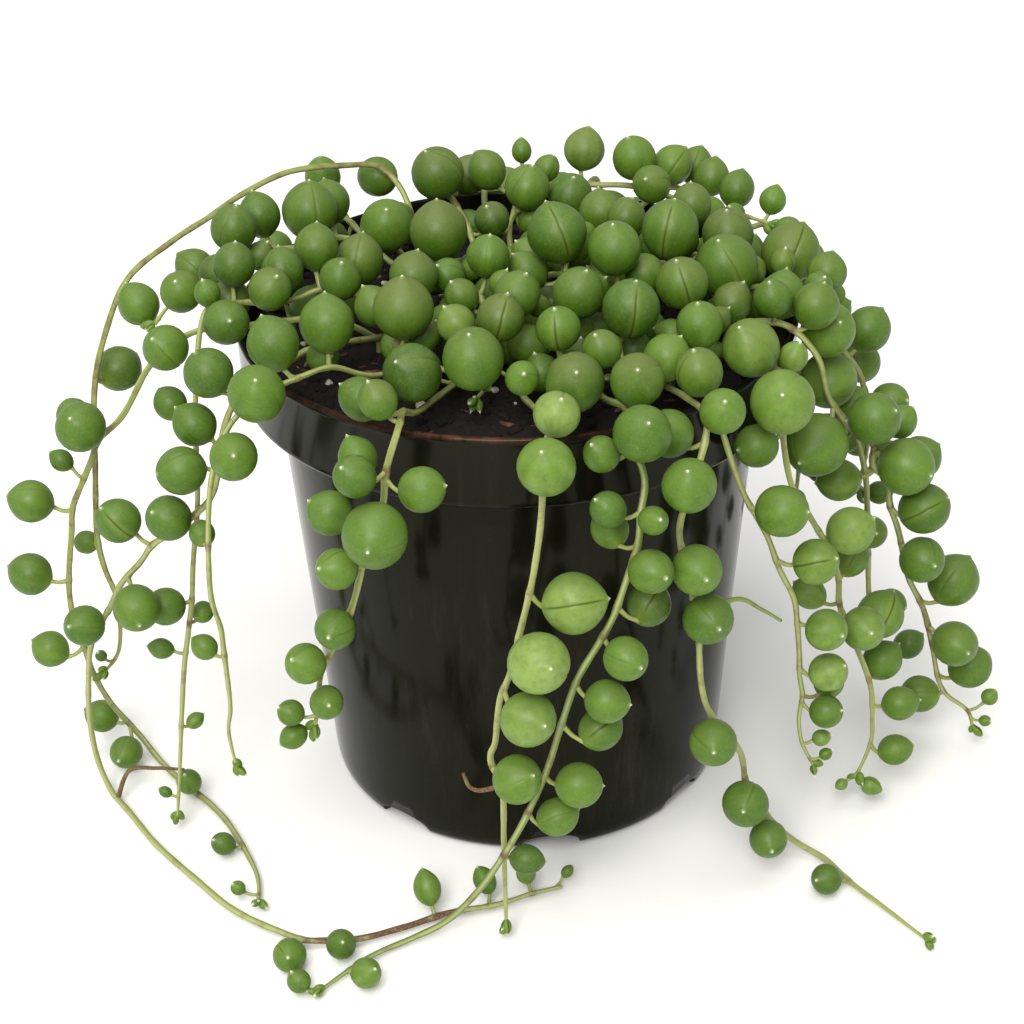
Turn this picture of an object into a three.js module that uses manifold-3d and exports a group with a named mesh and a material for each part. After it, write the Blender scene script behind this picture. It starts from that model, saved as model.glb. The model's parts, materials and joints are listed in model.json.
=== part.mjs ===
// Potted string of pearls: a thin black nursery pot filled with peat, and a trailing succulent whose
// round leaves hang over the rim on thin stems. Each stem grew as one piece with its leaves, so each
// is one mesh. Millimetres, +Z up, origin at the middle of the pot's underside, front towards -Y.
import * as THREE from 'three';
import { mergeVertices } from 'three/addons/utils/BufferGeometryUtils.js';
import Module from 'manifold-3d';

const wasm = await Module();
wasm.setup();

// ---------------------------------------------------------------- driving dimensions
const POT_HEIGHT = 102;
const RIM_RADIUS = 54;
const COLLAR_HEIGHT = 14.5;
const BODY_TOP_RADIUS = 47;
const BASE_RADIUS = 40.5;
const FOOT_RADIUS = 37.5;
const FOOT_HEIGHT = 6;
const WALL = 1.4;
const LATHE_SIDES = 48;
const SLOT_COUNT = 8;
const SLOT_WIDTH = 12;
const SLOT_HEIGHT = 3.6;
const SLOT_DEPTH = 10;
const SLOT_PHASE = 0.13;
const SOIL_GAP = 0.4;
const SOIL_EDGE = 96;
const SOIL_CROWN = 98;
const SOIL_CROWN_RADIUS = 37;
const SOIL_BEVEL = 3;

const STEM_RADIUS = 1.0;
const STEM_SIDES = 5;
const TWIG_RADIUS = 0.7;
const TWIG_SIDES = 4;
const SPAN_STEPS = 12;
const CHAIN_STEP = 2;
const TUBE_EVERY = 5;
const END_INSET = 0.15;
const GOLDEN_ANGLE = 2.4;
const LEAF_SWELL = 1.04;
const SMALL_LEAF = 5.2;
const GAP = 0.45;
const STALK_REST = 0.8;
const STALK_MAX = 2.5;
const SETTLE_ROUNDS = 120;
const REACH = 6;
const PUSH_GAIN = 0.6;
const PULL_GAIN = 0.3;
const STEM_SHARE = 0.2;
const SMOOTH_PASSES = 3;

const PLASTIC = { color: 0x1c1d18, roughness: 0.3, metalness: 0 };
const PEAT = { color: 0x1b130d, roughness: 0.95, metalness: 0 };
const LEAF = { color: 0x5f8f38, roughness: 0.45, metalness: 0 };

// ---------------------------------------------------------------- the strands, by hand
// route: where the stem runs, [x, y, z]. leaves: the leaves that sit at known places, [x, y, z,
// diameter]. row: evenly spread leaves, [from, to, spacing, first diameter, last diameter] along the
// stem. twigs: leafless side shoots.
const STRANDS = [
  {
    name: 'strand_left_arch',
    route: [[-20, 30, 99.5], [-22, 37, 108], [-27, 41, 113], [-34, 38, 115], [-45, 33, 116], [-54, 27, 114],
      [-60, 21, 112], [-67, 14, 110], [-75, 6, 106], [-80, 2, 96], [-83, 0, 85], [-84, -4, 70],
      [-85, -6, 56], [-84, -8, 49], [-82, -9, 41], [-83, -10, 30], [-87, -12, 26]],
    leaves: [[-28, 46, 109, 8.5], [-79, 7, 86, 9], [-88, -3, 52, 5], [-86, -13, 31, 2.5]],
  },
  {
    name: 'strand_left_top',
    route: [[-18, 16, 99.5], [-25, 18, 106], [-37, 15, 108], [-46, 10, 108], [-53, 4, 109], [-59, -3, 108],
      [-65, -8, 107], [-68, -10, 104]],
    leaves: [[-24, 8, 116, 10.5], [-37, 24, 115, 8.5], [-42, 14, 116, 11], [-48, 16, 116, 8.5], [-53, 2, 119, 9],
      [-60, 2, 109, 7.5], [-62, -13, 112, 8], [-71, -6, 106, 8]],
  },
  {
    name: 'strand_left_middle',
    route: [[-22, 0, 99.5], [-28, -5, 106], [-37, -10, 109], [-44, -14, 110], [-50, -18, 112], [-56, -20, 112],
      [-58, -22, 108], [-59, -24, 101], [-60, -26, 90], [-61, -26, 75], [-63, -26, 62], [-65, -27, 48],
      [-67, -28, 37], [-69, -29, 21], [-71, -32, 4]],
    leaves: [[-31, -2, 113, 9.5], [-32, -14, 114, 8], [-37, -5, 117, 8.5], [-42, -11, 115, 8],
      [-51, -16, 118, 8], [-47, -19, 114, 8], [-53, -24, 112, 8.5], [-65, -21, 93, 6.5],
      [-67, -29, 54, 7.5], [-63, -22, 47, 4.5], [-71, -27, 42, 4.5], [-67, -27, 24, 3.5], [-73, -30, 9, 2.5]],
  },
  {
    name: 'strand_left_outer',
    route: [[-26, -10, 99.5], [-34, -14, 106], [-43, -16, 107], [-51, -18, 107], [-60, -18, 106], [-68, -18, 100],
      [-74, -18, 90], [-80, -18, 82], [-85, -18, 72], [-88, -18, 60], [-90, -16, 46], [-89, -13, 32],
      [-87, -9, 18], [-82, -4, 4], [-77, -10, 1.4], [-71, -18, 1.4], [-65, -25, 1.4], [-60, -33, 1.4],
      [-54, -47, 1.4], [-53, -56, 1.4]],
    leaves: [[-63, -24, 106, 8.5], [-82, -22, 89, 9.5], [-86, -12, 87, 7], [-88, -15, 78, 4.5],
      [-95, -18, 71, 8.5], [-97, -16, 53, 8.5], [-96, -13, 33, 7.5], [-90, -2, 8, 7], [-84, -11, 5, 7],
      [-69, -22, 4, 5.5], [-61, -40, 3.5, 5], [-57, -53, 3, 3]],
  },
  {
    name: 'strand_left_floor',
    route: [[-22, -8, 99.5], [-30, -17, 103], [-38, -24, 105], [-43, -31, 105], [-49, -35, 104], [-53, -38, 97], [-56, -38, 84],
      [-61, -36, 77], [-67, -34, 71], [-76, -30, 60], [-80, -27, 52], [-85, -24, 42], [-87, -22, 33],
      [-89, -18, 19], [-89, -16, 7], [-86, -20, 1.4], [-82, -26, 1.4], [-75, -37, 1.4], [-66, -48, 1.4],
      [-57, -58, 1.4], [-46, -65, 1.4], [-35, -67, 1.4], [-25, -64, 1.4], [-16, -60, 1.4], [-7, -58, 1.4],
      [0, -55, 1.4], [6, -53, 1.4]],
    leaves: [[-54, -36, 106, 9], [-59, -33, 95, 8], [-61, -41, 90, 9], [-76, -33, 76, 8.5],
      [-64, -41, 80, 8.5], [-72, -35, 57, 9], [-83, -30, 51, 8], [-46, -75, 4, 6.5], [-36, -71, 4, 6],
      [-20, -58, 6, 6], [-9, -55, 5, 5], [-1, -52, 4, 4], [7, -51, 3, 2.5]],
    twigs: [[[-82, -20, 7], [-76, -22, 9], [-70, -24, 10]]],
  },
  {
    name: 'strand_left_inner',
    route: [[-16, -18, 99.5], [-26, -30, 102.5], [-33, -35, 107], [-38, -40, 108], [-44, -46, 108], [-50, -49, 104],
      [-54, -50, 95], [-56, -49, 83], [-57, -48, 68], [-56, -47, 60], [-56, -46, 54], [-56, -45, 41],
      [-57, -44, 34], [-56, -45, 26]],
    leaves: [[-34, -32, 114, 10], [-43, -37, 113, 9.5], [-45, -52, 111, 10], [-50, -54, 101, 8.5],
      [-58, -45, 79, 5], [-60, -43, 53, 5]],
  },
  {
    name: 'strand_front_left',
    route: [[-9, -24, 99.5], [-14, -36, 101.5], [-18, -46, 103.5], [-20, -53, 107], [-21, -60, 107], [-23, -62, 101], [-24, -62, 94],
      [-27, -61, 86], [-30, -60, 74], [-33, -59, 66], [-37, -58, 57], [-38, -58, 50], [-39, -58, 45]],
    leaves: [[-28, -48, 108, 8], [-24, -57, 112, 7], [-28, -67, 103, 7.5], [-17, -65, 99, 8],
      [-28, -57, 101, 7], [-25, -69, 93, 11.5], [-34, -58, 91, 8], [-32, -64, 83, 7.5],
      [-33, -64, 71, 7.5], [-39, -62, 62, 7.5], [-36, -63, 54, 6.5], [-43, -59, 49, 5], [-43, -58, 43, 5]],
  },
  {
    name: 'strand_front_one',
    route: [[1, -26, 99.5], [1, -38, 101.5], [5, -53, 104.2], [4, -59, 103], [3, -64, 92], [2, -64, 84], [1, -64, 78],
      [-1, -64, 69], [-3, -64, 60], [-5, -64, 54], [-6, -64, 45], [-7, -64, 41], [-5, -64, 34],
      [-5, -64, 22], [-5, -64, 13], [-5, -66, 3]],
    leaves: [[6, -60, 110, 8], [4, -69, 105, 10], [9, -65, 75, 11], [2, -71, 67, 11], [0, -71, 55, 10],
      [-2, -70, 41, 9]],
    twigs: [[[-9, -64, 34], [-11, -64, 35], [-12, -64, 38]]],
  },
  {
    name: 'strand_front_two',
    route: [[12, -22, 99.5], [13, -34, 101.5], [15, -44, 104], [18, -51, 106], [20, -55, 103], [21, -58, 97], [21, -61, 92],
      [20, -63, 87], [17, -65, 78], [14, -66, 70], [9, -66, 60], [6, -66, 50], [3, -67, 40], [-2, -68, 28],
      [-9, -68, 15], [-16, -65, 4], [-23, -67, 1.4], [-31, -72, 1.4], [-40, -81, 1.4]],
    leaves: [[20, -64, 108, 10], [12, -62, 103, 6.5], [13, -66, 95, 6.5], [15, -58, 86, 7], [22, -69, 94, 5.5],
      [22, -69, 84, 8], [22, -61, 72, 8], [17, -70, 67, 8], [14, -69, 57, 8], [13, -65, 48, 8],
      [9, -67, 37, 8.5], [5, -66, 29, 7.5], [-1, -67, 20, 6], [-31, -79, 4, 6], [-43, -80, 3, 4.5]],
  },
  {
    name: 'strand_front_right',
    route: [[22, -27, 99.5], [25, -37, 103], [29, -46, 105], [32, -53, 104.5], [30, -58, 97], [27, -60, 87],
      [29, -58, 76], [31, -56, 63], [32, -54, 50], [34, -53, 42], [40, -50, 31], [42, -48, 21],
      [47, -46, 11], [52, -44, 4], [58, -47, 1.4], [62, -54, 1.4], [67, -61, 1.4], [74, -71, 1.4]],
    leaves: [[26, -56, 104, 8.5], [28, -66, 99, 9.5], [29, -65, 82, 9], [32, -63, 70, 9],
      [34, -59, 40, 9], [41, -54, 22, 9], [46, -51, 11, 7.5], [57, -56, 4, 6]],
    twigs: [[[38, -54, 68], [43, -50, 63], [47, -48, 59]]],
  },
  {
    name: 'strand_right_one',
    route: [[28, -27, 99.5], [32, -36, 103.5], [34, -43, 105], [35, -48, 100], [39, -47, 87], [44, -45, 76],
      [47, -43, 67], [50, -42, 60], [51, -41, 54], [52, -40, 44], [52, -40, 37], [53, -40, 26], [56, -40, 19]],
    leaves: [[31.5, -57, 109, 8], [30.5, -50, 110, 8.5], [45, -50, 84, 9.5], [53, -47, 71, 8.5],
      [56, -44, 54, 8], [57, -42, 43, 7.5], [60, -35, 36, 6], [57, -42, 34, 6.5], [57, -40, 26, 3.5],
      [58, -40, 22, 2.5]],
  },
  {
    name: 'strand_right_two',
    route: [[30, -18, 99.5], [38, -25, 104], [45, -31, 104.5], [47, -35, 98], [48, -35, 88], [50, -34, 79],
      [54, -32, 71], [57, -31, 65], [60, -30, 57], [61, -30, 50], [64, -28, 41], [68, -28, 30], [69, -28, 21],
      [69, -28, 15], [66, -30, 8]],
    leaves: [[41, -36, 108, 10.5], [45, -44, 104, 11.5], [42, -41, 92, 8], [61, -35, 70, 9],
      [63, -24, 57, 7.5], [55, -25, 50, 6.5], [64, -34, 48, 8.5], [70, -23, 43, 9.5],
      [71, -23, 32, 8], [74, -28, 25, 7], [72, -28, 14, 6.5], [68, -30, 7, 4], [64, -30, 7, 2.5]],
  },
  {
    name: 'strand_right_three',
    route: [[34, -14, 99.5], [41, -18, 105], [49, -21, 106], [55, -22, 100], [58, -20, 90], [63, -18, 82],
      [67, -16, 74], [71, -16, 65], [74, -15, 57], [77, -13, 45], [81, -10, 36], [84, -8, 25], [86, -10, 16],
      [90, -12, 11], [93, -12, 7]],
    leaves: [[55, -27, 84, 12], [60, -12, 67, 8.5], [66, -23, 87, 10],
      [73, -20, 75, 11], [81, -10, 73, 8.5], [76, -12, 82, 6.5], [77, -19, 65, 10], [77, -19, 54, 9],
      [85, -9, 40, 10.5], [87, -15, 30, 9.5], [92, -9, 20, 9], [84, -8, 13, 8], [98, -11, 15, 3.5],
      [94, -13, 9, 2.5]],
  },
  {
    name: 'strand_right_four',
    route: [[34, -4, 99.5], [42, -6, 106], [51, -8, 107], [57, -7, 100], [59, -4, 88], [64, -2, 78], [69, 0, 63],
      [71, 2, 45], [73, 4, 26], [78, 5, 12]],
    leaves: [[39.5, -9, 112, 12], [56.5, -16, 102, 10.5], [58.5, -12, 89, 11], [81, 5, 16, 6.5]],
    row: [48, 110, 11, 8, 6],
  },
  {
    name: 'strand_right_top',
    route: [[30, 8, 99.5], [38, 5, 105], [46, 0, 105], [52, -3, 105], [57, -3, 100], [62, 1, 91], [68, 5, 81],
      [71, 9, 66], [70, 12, 50]],
    leaves: [[40.5, 3, 113.5, 10], [53, 5, 107, 11.5], [69, 6, 91, 9], [63, 7, 101, 4],
      [69, 9, 79, 8.5]],
    row: [62, 92, 9, 7.5, 5],
  },
  {
    name: 'strand_crown_left_back',
    route: [[-6, 14, 99.5], [-9, 22, 107], [-12, 32, 109], [-14, 44, 106], [-15, 54, 105], [-18, 62, 96],
      [-20, 64, 75], [-19, 64, 50]],
    leaves: [[-15, 28, 117, 10.5], [-9, 41, 111, 8]],
    row: [56, 100, 9, 10, 5],
  },
  {
    name: 'strand_crown_left',
    route: [[-16, -14, 99.5], [-20, -19, 105], [-22, -24, 107], [-20, -32, 108], [-13, -37, 107], [-6, -42, 106]],
    leaves: [[-19, -30, 114.5, 11], [-17, -46, 111, 10.5], [-6, -48, 113, 11], [-25, -17, 112, 7.5],
      [-20, -14, 117, 9]],
  },
  {
    name: 'strand_crown_back',
    route: [[0, 14, 99.5], [0, 22, 108], [1, 32, 110], [2, 44, 107], [2, 54, 105], [3, 62, 96], [4, 64, 70],
      [4, 64, 38]],
    leaves: [[-6, 33, 116, 8], [3, 24, 115, 9], [2, 45, 117, 4.5], [-6, 12, 115, 7], [8, 36, 115, 5.5]],
    row: [56, 114, 8.5, 10.5, 4],
  },
  {
    name: 'strand_crown_middle',
    route: [[-12, 5, 99.5], [-12, -2, 108], [-7, -14, 110], [-6, -24, 110], [-7, -33, 109], [-2, -42, 107]],
    leaves: [[-14.5, 0, 117.5, 11], [-5, -13, 118, 8], [1, -26, 117, 8.5], [-3, -35, 116, 8.5], [-12, -31, 113, 7],
      [-1, -50, 113, 6], [-10, -22, 114, 6.5]],
  },
  {
    name: 'strand_crown_front',
    route: [[4, 8, 99.5], [6, 0, 107], [9, -9, 111], [8, -20, 111], [7, -32, 109], [8, -42, 107]],
    leaves: [[9, -12, 121, 11], [11, -26, 116, 9.5], [7, -38, 115, 8], [8, -50, 111.5, 10.5], [3, -10, 114, 7.5]],
  },
  {
    name: 'strand_crown_centre',
    route: [[14, 12, 99.5], [16, 6, 108], [18, -6, 112], [19, -20, 111], [18, -32, 109], [19, -44, 107]],
    leaves: [[16, -15, 120, 10], [20, -33, 116, 10.5], [14, -43, 113, 7], [19, -53, 112, 9.5],
      [28, -42, 111, 8.5], [17, 14, 116, 8.5], [22, 5, 118, 7.5]],
  },
  {
    name: 'strand_crown_right',
    route: [[24, 8, 99.5], [27, 2, 108], [30, -8, 111], [31, -19, 110], [32, -30, 108], [32, -38, 105]],
    leaves: [[28, -7, 118, 11], [30, -23, 115, 9.5], [33, -36, 112, 8.5],
      [23, -12, 114, 7.5], [40, -21, 111, 7.5]],
  },
  {
    name: 'strand_crown_back_right',
    route: [[14, 20, 99.5], [11, 32, 105], [11, 42, 107.5], [18, 44, 106.5], [26, 43, 106], [33, 39, 105.5],
      [40, 34, 105], [46, 28, 106], [51, 22, 107]],
    leaves: [[15, 48, 113, 8.5], [26, 38, 112, 9], [35, 44, 109, 8.5], [40, 41, 109, 7.5], [43, 36, 108, 7.5],
      [51, 25, 109, 5.5], [11, 27, 112, 9], [27, 32, 108, 8]],
  },
  {
    name: 'strand_crown_right_back',
    route: [[26, 12, 99.5], [32, 16, 104], [40, 21, 104], [47, 26, 104.5], [53, 30, 102], [59, 32, 88],
      [61, 33, 60], [60, 33, 32]],
    leaves: [[35, 20, 114, 8]],
    row: [40, 114, 9, 10, 4],
  },
  {
    name: 'strand_crown_low_left',
    route: [[-5, 10, 99.5], [-5, 2, 100.5], [-4, -8, 100.5], [-6, -18, 100.5], [-5, -28, 100.5], [-8, -37, 100.5]],
    leaves: [],
    row: [2, 42, 7, 8, 7],
  },
  {
    name: 'strand_crown_low_middle',
    route: [[3, 22, 99.5], [7, 17, 100.5], [9, 10, 100.5], [12, 2, 100.5], [11, -8, 100.5], [8, -18, 100.5],
      [8, -28, 100.5], [7, -38, 100.5]],
    leaves: [],
    row: [4, 60, 7, 8, 7],
  },
  {
    name: 'strand_crown_low_right',
    route: [[26, 23, 99.5], [25, 17, 100.5], [21, 9, 100.5], [19, 0, 100.5], [18, -10, 100.5], [20, -20, 100.5],
      [17, -31, 100.5]],
    leaves: [],
    row: [2, 54, 7, 8, 7],
  },
  {
    name: 'strand_crown_low_far_right',
    route: [[36, 24, 99.5], [41, 14, 100.5], [38, 4, 100.5], [42, -8, 100.5], [41, -17, 100.5]],
    leaves: [],
    row: [2, 36, 7.5, 8, 7],
  },
  {
    name: 'strand_back_left',
    route: [[-24, 22, 99.5], [-31, 30, 103.5], [-37, 39, 105], [-42, 46, 103], [-46, 51, 92], [-50, 55, 70],
      [-50, 56, 48], [-48, 57, 30]],
    leaves: [],
    row: [6, 104, 9.5, 8.5, 5],
  },
  {
    name: 'strand_back_right',
    route: [[20, 30, 99.5], [25, 37, 103.5], [30, 44, 105], [36, 50, 102], [40, 55, 88], [43, 59, 62],
      [45, 58, 36], [48, 56, 14]],
    leaves: [],
    row: [6, 112, 9.5, 8.5, 4.5],
  },
  {
    name: 'strand_back_middle',
    route: [[8, 26, 99.5], [11, 36, 103.5], [15, 46, 105], [18, 55, 103], [20, 61, 90], [22, 65, 66], [20, 66, 42]],
    leaves: [],
    row: [44, 80, 9, 9, 5.5],
  },
  {
    name: 'strand_back_low',
    route: [[-6, 36, 99.5], [-6, 44, 104], [-6, 53, 105.5], [-7, 60, 99], [-9, 64, 82], [-11, 65, 52],
      [-14, 65, 24], [-18, 66, 5], [-26, 71, 1.4], [-36, 80, 1.4]],
    leaves: [],
    row: [32, 132, 9.5, 9.5, 4],
  },
];

// ---------------------------------------------------------------- lines and leaf places
const vec = (p) => new THREE.Vector3(p[0], p[1], p[2]);

function smoothLine(points, step) {
  // A uniform Catmull-Rom line through the points, cut into nearly equal steps.
  const fine = [];
  const at = (i) => vec(points[Math.min(Math.max(i, 0), points.length - 1)]);
  for (let i = 0; i < points.length - 1; i += 1) {
    const [a, b, c, d] = [at(i - 1), at(i), at(i + 1), at(i + 2)];
    for (let k = 0; k < SPAN_STEPS; k += 1) {
      const t = k / SPAN_STEPS;
      const bend = a.clone().multiplyScalar(-1).addScaledVector(b, 3).addScaledVector(c, -3).add(d);
      const lean = a.clone().multiplyScalar(2).addScaledVector(b, -5).addScaledVector(c, 4).sub(d);
      const slope = c.clone().sub(a);
      const p = b.clone().multiplyScalar(2).addScaledVector(slope, t);
      p.addScaledVector(lean, t * t).addScaledVector(bend, t * t * t).multiplyScalar(0.5);
      fine.push(p);
    }
  }
  fine.push(at(points.length - 1));
  const run = [0];
  for (let i = 1; i < fine.length; i += 1) run.push(run[i - 1] + fine[i].distanceTo(fine[i - 1]));
  const total = run[run.length - 1];
  const count = Math.max(2, Math.round(total / step));
  const line = [];
  let j = 0;
  for (let i = 0; i <= count; i += 1) {
    const s = (total * i) / count;
    while (j < fine.length - 2 && run[j + 1] < s) j += 1;
    line.push(fine[j].clone().lerp(fine[j + 1], (s - run[j]) / (run[j + 1] - run[j])));
  }
  return line;
}

function rowLeaves(chain, row) {
  // Leaves spiral round a hanging stem by the golden angle and get smaller towards its tip.
  const [from, to, spacing, first, last] = row;
  const leaves = [];
  const count = Math.floor((to - from) / spacing) + 1;
  for (let i = 0; i < count; i += 1) {
    const k = Math.min(chain.length - 2, Math.round((from + i * spacing) / CHAIN_STEP));
    const along = chain[k + 1].clone().sub(chain[k]).normalize();
    const side = new THREE.Vector3(along.y, -along.x, 0.001).normalize();
    const other = new THREE.Vector3().crossVectors(along, side);
    const angle = i * GOLDEN_ANGLE;
    const size = first + ((last - first) * i) / Math.max(1, count - 1);
    const reach = size / 2 + STEM_RADIUS + STALK_REST;
    const away = side.multiplyScalar(Math.cos(angle)).addScaledVector(other, Math.sin(angle));
    leaves.push({ at: chain[k].clone().addScaledVector(away, reach), radius: size / 2 });
  }
  return leaves;
}

// ---------------------------------------------------------------- settling
// Stems are chains of small balls and leaves are balls. They push each other, the pot, the soil and
// the floor away until nothing touches, as the plant's own weight and stiffness sort them out.
const POT_WALL = [
  [RIM_RADIUS - WALL / 2, POT_HEIGHT - WALL / 2],
  [RIM_RADIUS - WALL / 2, POT_HEIGHT - COLLAR_HEIGHT + WALL / 2],
  [BODY_TOP_RADIUS - WALL / 2, POT_HEIGHT - COLLAR_HEIGHT + WALL / 2],
  [BASE_RADIUS - WALL / 2, FOOT_HEIGHT],
  [FOOT_RADIUS - WALL / 2, WALL / 2],
];

function keepOffPot(p, radius) {
  const rho = Math.hypot(p.x, p.y);
  let best = null;
  for (let i = 0; i < POT_WALL.length - 1; i += 1) {
    const [ax, az] = POT_WALL[i];
    const [bx, bz] = POT_WALL[i + 1];
    const lengthSq = (bx - ax) ** 2 + (bz - az) ** 2;
    const t = Math.min(1, Math.max(0, ((rho - ax) * (bx - ax) + (p.z - az) * (bz - az)) / lengthSq));
    const dx = rho - (ax + t * (bx - ax));
    const dz = p.z - (az + t * (bz - az));
    const far = Math.hypot(dx, dz);
    if (best === null || far < best.far) best = { far, dx, dz };
  }
  const need = radius + WALL / 2 + GAP;
  if (best.far < need) {
    const push = (need - best.far) / best.far;
    const scale = (rho + best.dx * push) / rho;
    p.x *= scale;
    p.y *= scale;
    p.z += best.dz * push;
  }
  const overSoil = rho < RIM_RADIUS - WALL && p.z > SOIL_EDGE - COLLAR_HEIGHT;
  if (overSoil) p.z = Math.max(p.z, SOIL_CROWN + GAP + radius);
  p.z = Math.max(p.z, radius + GAP / 2);
}

function findPairs(balls) {
  const pairs = [];
  for (let i = 0; i < balls.length; i += 1) {
    for (let j = i + 1; j < balls.length; j += 1) {
      const a = balls[i];
      const b = balls[j];
      const sameStrand = a.strand === b.strand;
      if (!(sameStrand && a.stem && b.stem)) {
        const rest = sameStrand && (a.stem || b.stem) ? STALK_REST : GAP;
        const need = a.radius + b.radius + rest;
        if (a.at.distanceTo(b.at) < need + REACH) pairs.push({ a, b, need });
      }
    }
  }
  return pairs;
}

function settle(plants) {
  const balls = plants.flatMap((plant) => [...plant.chain, ...plant.leaves]);
  const pairs = findPairs(balls);
  for (let round = 0; round < SETTLE_ROUNDS; round += 1) {
    for (const ball of balls) ball.push.set(0, 0, 0);
    for (const { a, b, need } of pairs) {
      const apart = a.at.clone().sub(b.at);
      const far = apart.length();
      if (far < need) {
        const share = a.stem === b.stem ? 0.5 : STEM_SHARE;
        const shove = apart.multiplyScalar((PUSH_GAIN * (need - far)) / far);
        a.push.addScaledVector(shove, a.stem ? share : 1 - share);
        b.push.addScaledVector(shove, b.stem ? -share : share - 1);
      }
    }
    for (const plant of plants) {
      for (const leaf of plant.leaves) {
        const root = nearest(plant.chain, leaf.at);
        const far = root.at.distanceTo(leaf.at) - leaf.radius - STEM_RADIUS;
        if (far > STALK_MAX) {
          const pull = root.at.clone().sub(leaf.at).setLength(PULL_GAIN * (far - STALK_MAX));
          leaf.push.addScaledVector(pull, 0.5);
          root.push.addScaledVector(pull, -1);
        }
      }
      for (let pass = 0; pass < SMOOTH_PASSES; pass += 1) {
        const before = plant.chain.map((ball) => ball.push.clone());
        for (let i = 1; i < plant.chain.length - 1; i += 1) {
          plant.chain[i].push.multiplyScalar(0.5).addScaledVector(before[i - 1], 0.25);
          plant.chain[i].push.addScaledVector(before[i + 1], 0.25);
        }
      }
    }
    for (const ball of balls) {
      ball.at.add(ball.push);
      keepOffPot(ball.at, ball.radius);
    }
  }
}

function nearest(chain, point) {
  let best = chain[0];
  for (const ball of chain) {
    if (ball.at.distanceToSquared(point) < best.at.distanceToSquared(point)) best = ball;
  }
  return best;
}

function growPlants() {
  const plants = STRANDS.map((strand, index) => {
    const line = smoothLine(strand.route, CHAIN_STEP);
    const known = strand.leaves.map(([x, y, z, size]) => ({ at: vec([x, y, z]), radius: size / 2 }));
    const spread = strand.row ? rowLeaves(line, strand.row) : [];
    const ball = (at, radius, stem) => ({ at, radius, stem, strand: index, push: new THREE.Vector3() });
    return {
      name: strand.name,
      twigs: strand.twigs ?? [],
      chain: line.map((at) => ball(at, STEM_RADIUS, true)),
      leaves: [...known, ...spread].map((leaf) => ball(leaf.at, leaf.radius * LEAF_SWELL, false)),
    };
  });
  settle(plants);
  return plants;
}

// ---------------------------------------------------------------- solids
function toSolid(geometry) {
  const shell = geometry.clone();
  shell.deleteAttribute('normal');
  shell.deleteAttribute('uv');
  const merged = mergeVertices(shell, 1e-4);
  const index = [];
  for (let i = 0; i < merged.index.count; i += 3) {
    const [a, b, c] = [0, 1, 2].map((k) => merged.index.getX(i + k));
    if (a !== b && b !== c && c !== a) index.push(a, b, c);
  }
  const vertProperties = new Float32Array(merged.attributes.position.array);
  return new wasm.Manifold(new wasm.Mesh({ numProp: 3, vertProperties, triVerts: new Uint32Array(index) }));
}

function toMesh(solid, name, finish) {
  const mesh = solid.getMesh();
  const geometry = new THREE.BufferGeometry();
  geometry.setAttribute('position', new THREE.BufferAttribute(mesh.vertProperties, 3));
  geometry.setIndex(new THREE.BufferAttribute(mesh.triVerts, 1));
  geometry.computeVertexNormals();
  const part = new THREE.Mesh(geometry, new THREE.MeshStandardMaterial(finish));
  part.name = name;
  return part;
}

function lathe(profile) {
  const points = profile.map(([radius, height]) => new THREE.Vector2(radius, height));
  return new THREE.LatheGeometry(points, LATHE_SIDES).rotateX(Math.PI / 2);
}

function makePot() {
  // The wall steps out at the collar, and the underside is flat inside a row of drain arches.
  const step = POT_HEIGHT - COLLAR_HEIGHT;
  const profile = [
    [0, 0], [FOOT_RADIUS, 0], [BASE_RADIUS, FOOT_HEIGHT], [BODY_TOP_RADIUS, step], [RIM_RADIUS, step],
    [RIM_RADIUS, POT_HEIGHT], [RIM_RADIUS - WALL, POT_HEIGHT], [RIM_RADIUS - WALL, step + WALL],
    [BODY_TOP_RADIUS - WALL, step + WALL], [BASE_RADIUS - WALL, FOOT_HEIGHT + WALL],
    [FOOT_RADIUS - WALL, WALL], [0, WALL],
  ];
  let pot = toSolid(lathe(profile));
  for (let i = 0; i < SLOT_COUNT; i += 1) {
    const cutter = new THREE.BoxGeometry(SLOT_DEPTH, SLOT_WIDTH, 2 * SLOT_HEIGHT);
    cutter.translate(BASE_RADIUS, 0, 0);
    cutter.rotateZ((Math.PI * 2 * (i + SLOT_PHASE)) / SLOT_COUNT);
    pot = pot.subtract(toSolid(cutter));
  }
  return toMesh(pot, 'pot', PLASTIC);
}

function makeSoil() {
  // One plug of peat that fills the pot to just under the rim and stands a little higher in the middle.
  const step = POT_HEIGHT - COLLAR_HEIGHT;
  const inset = WALL + SOIL_GAP;
  const floor = SLOT_HEIGHT + WALL + SOIL_GAP;
  const profile = [
    [0, floor], [BASE_RADIUS - inset - 1, floor], [BASE_RADIUS - inset, FOOT_HEIGHT + SOIL_BEVEL],
    [BODY_TOP_RADIUS - inset, step + inset], [RIM_RADIUS - inset, step + inset],
    [RIM_RADIUS - inset, SOIL_EDGE], [SOIL_CROWN_RADIUS, SOIL_CROWN], [0, SOIL_CROWN],
  ];
  return toMesh(toSolid(lathe(profile)), 'soil', PEAT);
}

function nearestOnLine(line, point) {
  // The ends count a little short, so that a stalk always starts inside the stem.
  let best = null;
  for (let i = 0; i < line.length - 1; i += 1) {
    const from = line[i].clone().lerp(line[i + 1], i === 0 ? END_INSET : 0);
    const to = line[i + 1].clone().lerp(line[i], i === line.length - 2 ? END_INSET : 0);
    const spot = new THREE.Line3(from, to).closestPointToPoint(point, true, new THREE.Vector3());
    if (best === null || spot.distanceTo(point) < best.distanceTo(point)) best = spot;
  }
  return best;
}

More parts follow.
